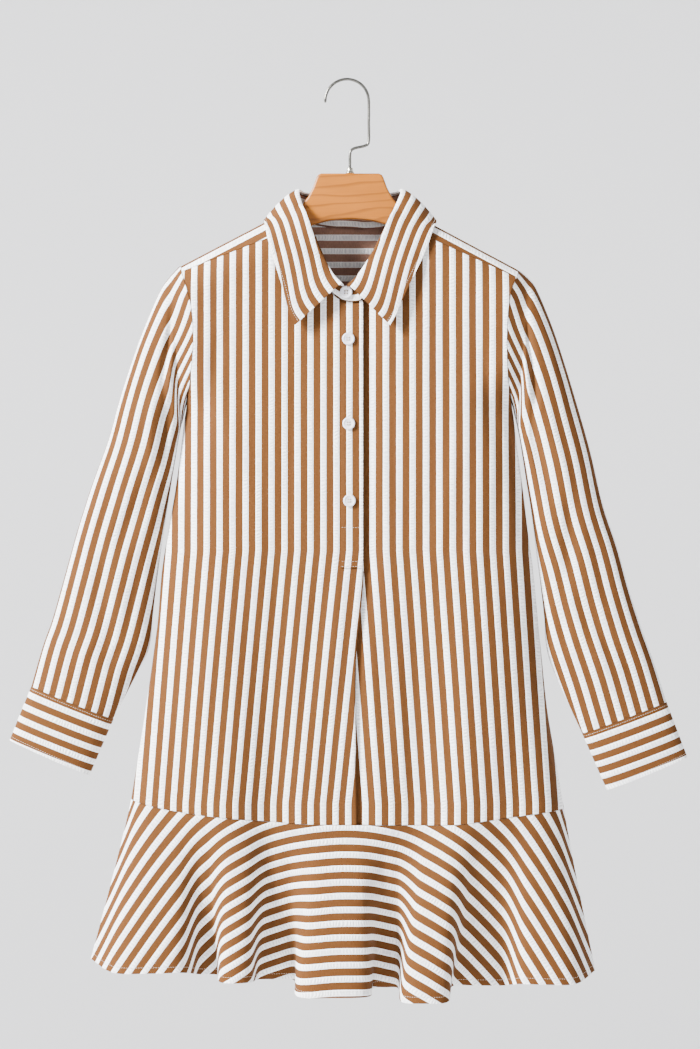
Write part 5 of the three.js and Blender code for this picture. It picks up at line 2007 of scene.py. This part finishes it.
@dataclass
class Hanger:
    """The wooden hanger, its wire hook and the hook's socket.

    Attributes:
        finishes: the scene's finishes.
    """

    finishes: Finishes

    def build(self) -> None:
        """Build the three pieces."""
        self._part("hanger_wood", "hanger_body", "wood", self._wood(), self.finishes.wood)
        self._part("hanger_wire", "hanger_hook", "steel", self._hook(), self.finishes.steel)
        self._part("hanger_socket", "hanger_ferrule", "steel", self._ferrule(), self.finishes.brass)

    @staticmethod
    def _part(name: str, node: str, slot: str, mesh: bpy.types.Mesh, finish: bpy.types.Material) -> None:
        """Give a hard piece its finish, attach it to the root and hide the CAD solid that it stands for.

        Args:
            name: its name.
            node: the CAD node that it stands for.
            slot: not used.
            mesh: its mesh.
            finish: its material.
        """
        mesh.materials.append(finish)
        piece = as_object(mesh, name)
        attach(piece, "root")
        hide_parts(node)

    @staticmethod
    def _outline(sign: int) -> list[tuple[float, float]]:
        """Half of the wood's outline, from the top's centre out to the tip and back to the arch.

        Args:
            sign: the half's direction.

        Returns:
            The points, for the right half as it lies.
        """

        def arm(x: float, down: float) -> tuple[float, float]:
            """A point below the cloth of the shoulder."""
            return x, float(shoulder_z(np.array(sign * x))) - 0.7 - 1.2 - down

        deep = lambda x: lerp(30, 17, (x - WOOD_ARM_FROM) / (WOOD_ARM_REACH - WOOD_ARM_FROM))
        head = [(0, -107), (33, -107), (36.5, -108.6), (38.6, -112), (42.5, -123), (48.5, -134.5), (57, -145)]
        dip = (86.0, float(shoulder_z(np.array(sign * 86.0))) - 8)
        inner = (70.0, 0.5 * (dip[1] - 145) + 1.5)
        tip = [arm(176, 0.2), arm(180, 3.5), arm(181, 8.5), arm(180, 13.5), arm(176, deep(176) + 0.2)]
        low = [arm(x, deep(x)) for x in (160, 140, 124, 108)]
        arch = [(86, -181.5), (64, -173.8), (46, -167), (34, -163.4), (24, -161), (12, -159.8), (0, -159.3)]
        return [*head, inner, dip, *[arm(x, 0) for x in (108, 130, 155)], *tip, *low, *arch]

    def _wood(self) -> bpy.types.Mesh:
        """The wood: its outline with rounded edges.

        Returns:
            The mesh.
        """
        right = self._outline(1)
        left = [(-x, z) for x, z in self._outline(-1)]
        outline = np.array([*right[:-1], *left[1:][::-1]], float)
        before, after = np.roll(outline, 1, axis=0), np.roll(outline, -1, axis=0)
        run = unit(unit(outline - before) + unit(after - outline))
        inwards = np.stack([run[:, 1], -run[:, 0]], axis=-1)
        shape = bmesh.new()
        loops = []
        half = WOOD_THICK / 2
        turns = np.linspace(0, math.pi / 2, 7)
        profile = [(WOOD_ROUND * (1 - math.sin(a)), -half + WOOD_ROUND * (1 - math.cos(a))) for a in turns]
        profile += [(inset, -y) for inset, y in reversed(profile)]
        for inset, y in profile:
            loop = outline + inwards * inset
            loops.append([shape.verts.new((x * MM, y * MM, z * MM)) for x, z in loop])
        count = len(outline)
        for a, b in zip(loops, loops[1:]):
            for i in range(count):
                shape.faces.new([a[i], a[(i + 1) % count], b[(i + 1) % count], b[i]])
        shape.faces.new(loops[0][::-1])
        shape.faces.new(loops[-1])
        bmesh.ops.recalc_face_normals(shape, faces=shape.faces)
        bmesh.ops.triangulate(shape, faces=[face for face in shape.faces if len(face.verts) > 4])
        mesh = bpy.data.meshes.new("hanger_wood")
        shape.to_mesh(mesh)
        shape.free()
        return mesh

    @staticmethod
    def _hook() -> bpy.types.Mesh:
        """The wire, swept along the hook's line.

        Returns:
            The mesh.
        """
        x0, z0 = HOOK_CENTRE
        right = x0 + HOOK_RADIUS
        path = [
            (0, -106.4), (0, -94), (0, -85), (1, -80.6), (4.4, -78), (16.6, -75), (20.4, -73), (right, -69), (right, -48),
        ]  # fmt: skip
        turns = np.linspace(0, math.pi + HOOK_PAST_HALF, 13)
        path += [(x0 + HOOK_RADIUS * math.cos(a), z0 + HOOK_RADIUS * math.sin(a)) for a in turns]
        line = centripetal(np.array([(x, 0, z) for x, z in path], float), 130)
        ahead = unit(np.gradient(line, axis=0))
        side = np.array([0.0, 1.0, 0.0])
        out = unit(np.cross(ahead, side))
        angles = np.linspace(0, 2 * math.pi, 17)[:-1]
        shape = bmesh.new()
        loops = []
        ends = [(0.0, 0.55), (0.0, 0.85)]
        for i, (centre, normal) in enumerate(zip(line, out)):
            radius = WIRE_RADIUS * (ends[i][1] if i < 2 else ends[len(line) - 1 - i][1] if i >= len(line) - 2 else 1)
            ring = [centre + radius * (math.cos(a) * normal + math.sin(a) * side) for a in angles]
            loops.append([shape.verts.new(point * MM) for point in ring])
        for a, b in zip(loops, loops[1:]):
            for i in range(16):
                shape.faces.new([a[i], a[(i + 1) % 16], b[(i + 1) % 16], b[i]])
        shape.faces.new(loops[0][::-1])
        shape.faces.new(loops[-1])
        bmesh.ops.recalc_face_normals(shape, faces=shape.faces)
        mesh = bpy.data.meshes.new("hanger_wire")
        shape.to_mesh(mesh)
        shape.free()
        return mesh

    @staticmethod
    def _ferrule() -> bpy.types.Mesh:
        """The socket round the wire's foot.

        Returns:
            The mesh.
        """
        shape = bmesh.new()
        turns = [2 * math.pi * i / 40 for i in range(40)]
        loops = []
        for radius, z in FERRULE_PROFILE:
            ring = [(radius * math.cos(a) * MM, radius * math.sin(a) * MM, z * MM) for a in turns]
            loops.append([shape.verts.new(point) for point in ring])
        for a, b in zip(loops, [*loops[1:], loops[0]]):
            for i in range(40):
                shape.faces.new([a[i], a[(i + 1) % 40], b[(i + 1) % 40], b[i]])
        bmesh.ops.recalc_face_normals(shape, faces=shape.faces)
        mesh = bpy.data.meshes.new("hanger_socket")
        shape.to_mesh(mesh)
        shape.free()
        return mesh


# Studio


@dataclass(frozen=True)
class Lamp:
    """A soft area light.

    Attributes:
        name: its name.
        place: where it stands, in metres.
        size: its width and height, in metres.
        power: its power, in watts.
    """

    name: str
    place: tuple[float, float, float]
    size: tuple[float, float]
    power: float

    def light(self, target: Vector) -> None:
        """Put the light up, aimed at a point.

        Args:
            target: the point.
        """
        data = bpy.data.lights.new(self.name, "AREA")
        data.shape = "RECTANGLE"
        data.size, data.size_y = self.size
        data.energy = self.power
        lamp = bpy.data.objects.new(self.name, data)
        lamp.location = self.place
        lamp.rotation_euler = (target - Vector(self.place)).to_track_quat("-Z", "Y").to_euler()
        bpy.context.scene.collection.objects.link(lamp)


@dataclass
class Studio:
    """The backdrop, the lights and the camera.

    Attributes:
        finishes: the scene's finishes.
        floor_z: the floor's height, in metres.
        radius: how far the backdrop stands, in metres.
        rim: how high its rim rises, in metres.
    """

    finishes: Finishes
    floor_z: float = -2.4
    radius: float = 8.5
    rim: float = 7.5

    def build(self) -> None:
        """Build the set."""
        self._backdrop()
        middle = Vector((0, 0, -0.5))
        lamps = [
            Lamp("key", (-3.6, -2.2, 2.0), (1.2, 1.2), 1800),
            Lamp("fill", (3.2, -3.8, -0.2), (3.0, 3.0), 25),
            Lamp("back left", (-3.0, 3.8, 1.6), (2.6, 2.6), 130),
            Lamp("back right", (3.4, 3.4, 1.2), (2.6, 2.6), 100),
            Lamp("top", (0, 0, 3.2), (4.0, 4.0), 50),
        ]
        for lamp in lamps:
            lamp.light(middle)
        Lamp("wall wash", (-3.4, 2.6, 1.6), (3.0, 3.0), 240).light(Vector((-2.0, 8.5, 0.0)))
        world = bpy.data.worlds.new("studio air")
        world.use_nodes = True
        world.node_tree.nodes["Background"].inputs[0].default_value = (0.8, 0.82, 0.85, 1)
        world.node_tree.nodes["Background"].inputs[1].default_value = 0.42
        bpy.context.scene.world = world
        self._camera()

    def _backdrop(self) -> None:
        """A round floor whose rim bends up into a wall, all round."""
        bend = 2.5
        profile = [(0.0, 0.0), (2.0, 0.0), (4.0, 0.0), (self.radius - bend, 0.0)]
        for a in np.linspace(0, math.pi / 2, 13)[1:]:
            profile.append((self.radius - bend + bend * math.sin(a), bend * (1 - math.cos(a))))
        profile.append((self.radius, self.rim))
        turns = 96
        shape = bmesh.new()
        centre = shape.verts.new((0, 0, self.floor_z))
        loops = []
        for radius, height in profile[1:]:
            ring = []
            for i in range(turns):
                a = 2 * math.pi * i / turns
                ring.append(shape.verts.new((radius * math.cos(a), radius * math.sin(a), self.floor_z + height)))
            loops.append(ring)
        for i in range(turns):
            shape.faces.new([centre, loops[0][i], loops[0][(i + 1) % turns]])
        for a, b in zip(loops, loops[1:]):
            for i in range(turns):
                shape.faces.new([a[i], b[i], b[(i + 1) % turns], a[(i + 1) % turns]])
        mesh = bpy.data.meshes.new("backdrop")
        shape.to_mesh(mesh)
        shape.free()
        mesh.materials.append(self.finishes.backdrop)
        as_object(mesh, "backdrop")

    @staticmethod
    def _camera() -> None:
        """The camera, level, in front of the dress's middle."""
        data = bpy.data.cameras.new("camera")
        data.lens = 89.6
        data.sensor_width = 36
        data.clip_end = 60
        camera = bpy.data.objects.new("camera", data)
        camera.location = (0, -3.0, -0.51)
        camera.rotation_euler = (math.pi / 2, 0, 0)
        bpy.context.scene.collection.objects.link(camera)
        bpy.context.scene.camera = camera


def sew_dress(
    finishes: Finishes,
    plackets: Plackets,
    collar: Collar,
    sleeves: Sequence[Sleeve],
    flounces: Sequence[Flounce],
) -> None:
    """Sew the seams that show.

    Args:
        finishes: the scene's finishes.
        plackets: the front's strips.
        collar: the collar.
        sleeves: both sleeves.
        flounces: both flounces.
    """
    sewing = Sewing(finishes)
    leaf = collar.leaf
    rows, columns = leaf.grid.shape[:2]
    ends = np.linspace(2, columns - 3, 200)
    sewing.sew("leaf_stitches", [sewing.line_on(leaf, np.full(200, rows - 2.1), ends)])
    over = plackets.over
    rows, columns = over.grid.shape[:2]
    lines = []
    for row in (rows - 14.5, rows - 3.1, rows - 1.4):
        lines.append(sewing.line_on(over, np.full(30, row), np.linspace(0.9, columns - 1.9, 30)))
    sewing.sew("placket_stitches", lines)
    for sleeve in sleeves:
        rows = sleeve.cuff.grid.shape[0]
        ring = np.linspace(0, sleeve.around - 0.01, 160)
        lines = [sewing.line_on(sleeve.cuff, np.full(160, row), ring) for row in (0.7, rows - 2.2)]
        sewing.sew(f"cuff_{sleeve.side.value}_stitches", lines)
    for flounce in flounces:
        rows = flounce.wall.grid.shape[0]
        across = np.linspace(1, flounce.columns - 1, 700)
        sewing.sew(f"hem_{flounce.face.value}_stitches", [sewing.line_on(flounce.wall, np.full(700, rows - 2.4), across)])


def main() -> None:
    """Build the dress, the hanger and the studio in order."""
    logging.basicConfig(level=logging.INFO, format="%(name)s: %(message)s")
    finishes = Finishes()
    hanger, body, plackets, collar = Hanger(finishes), Body(finishes), Plackets(finishes), Collar(finishes)
    sleeves = [Sleeve(side, finishes) for side in Side]
    flounces = [Flounce(face, finishes) for face in Face]
    for part in (hanger, body, plackets, collar, *sleeves, *flounces, Buttons(finishes)):
        part.build()
    sew_dress(finishes, plackets, collar, sleeves, flounces)
    Studio(finishes).build()


if __name__ == "__main__":
    main()
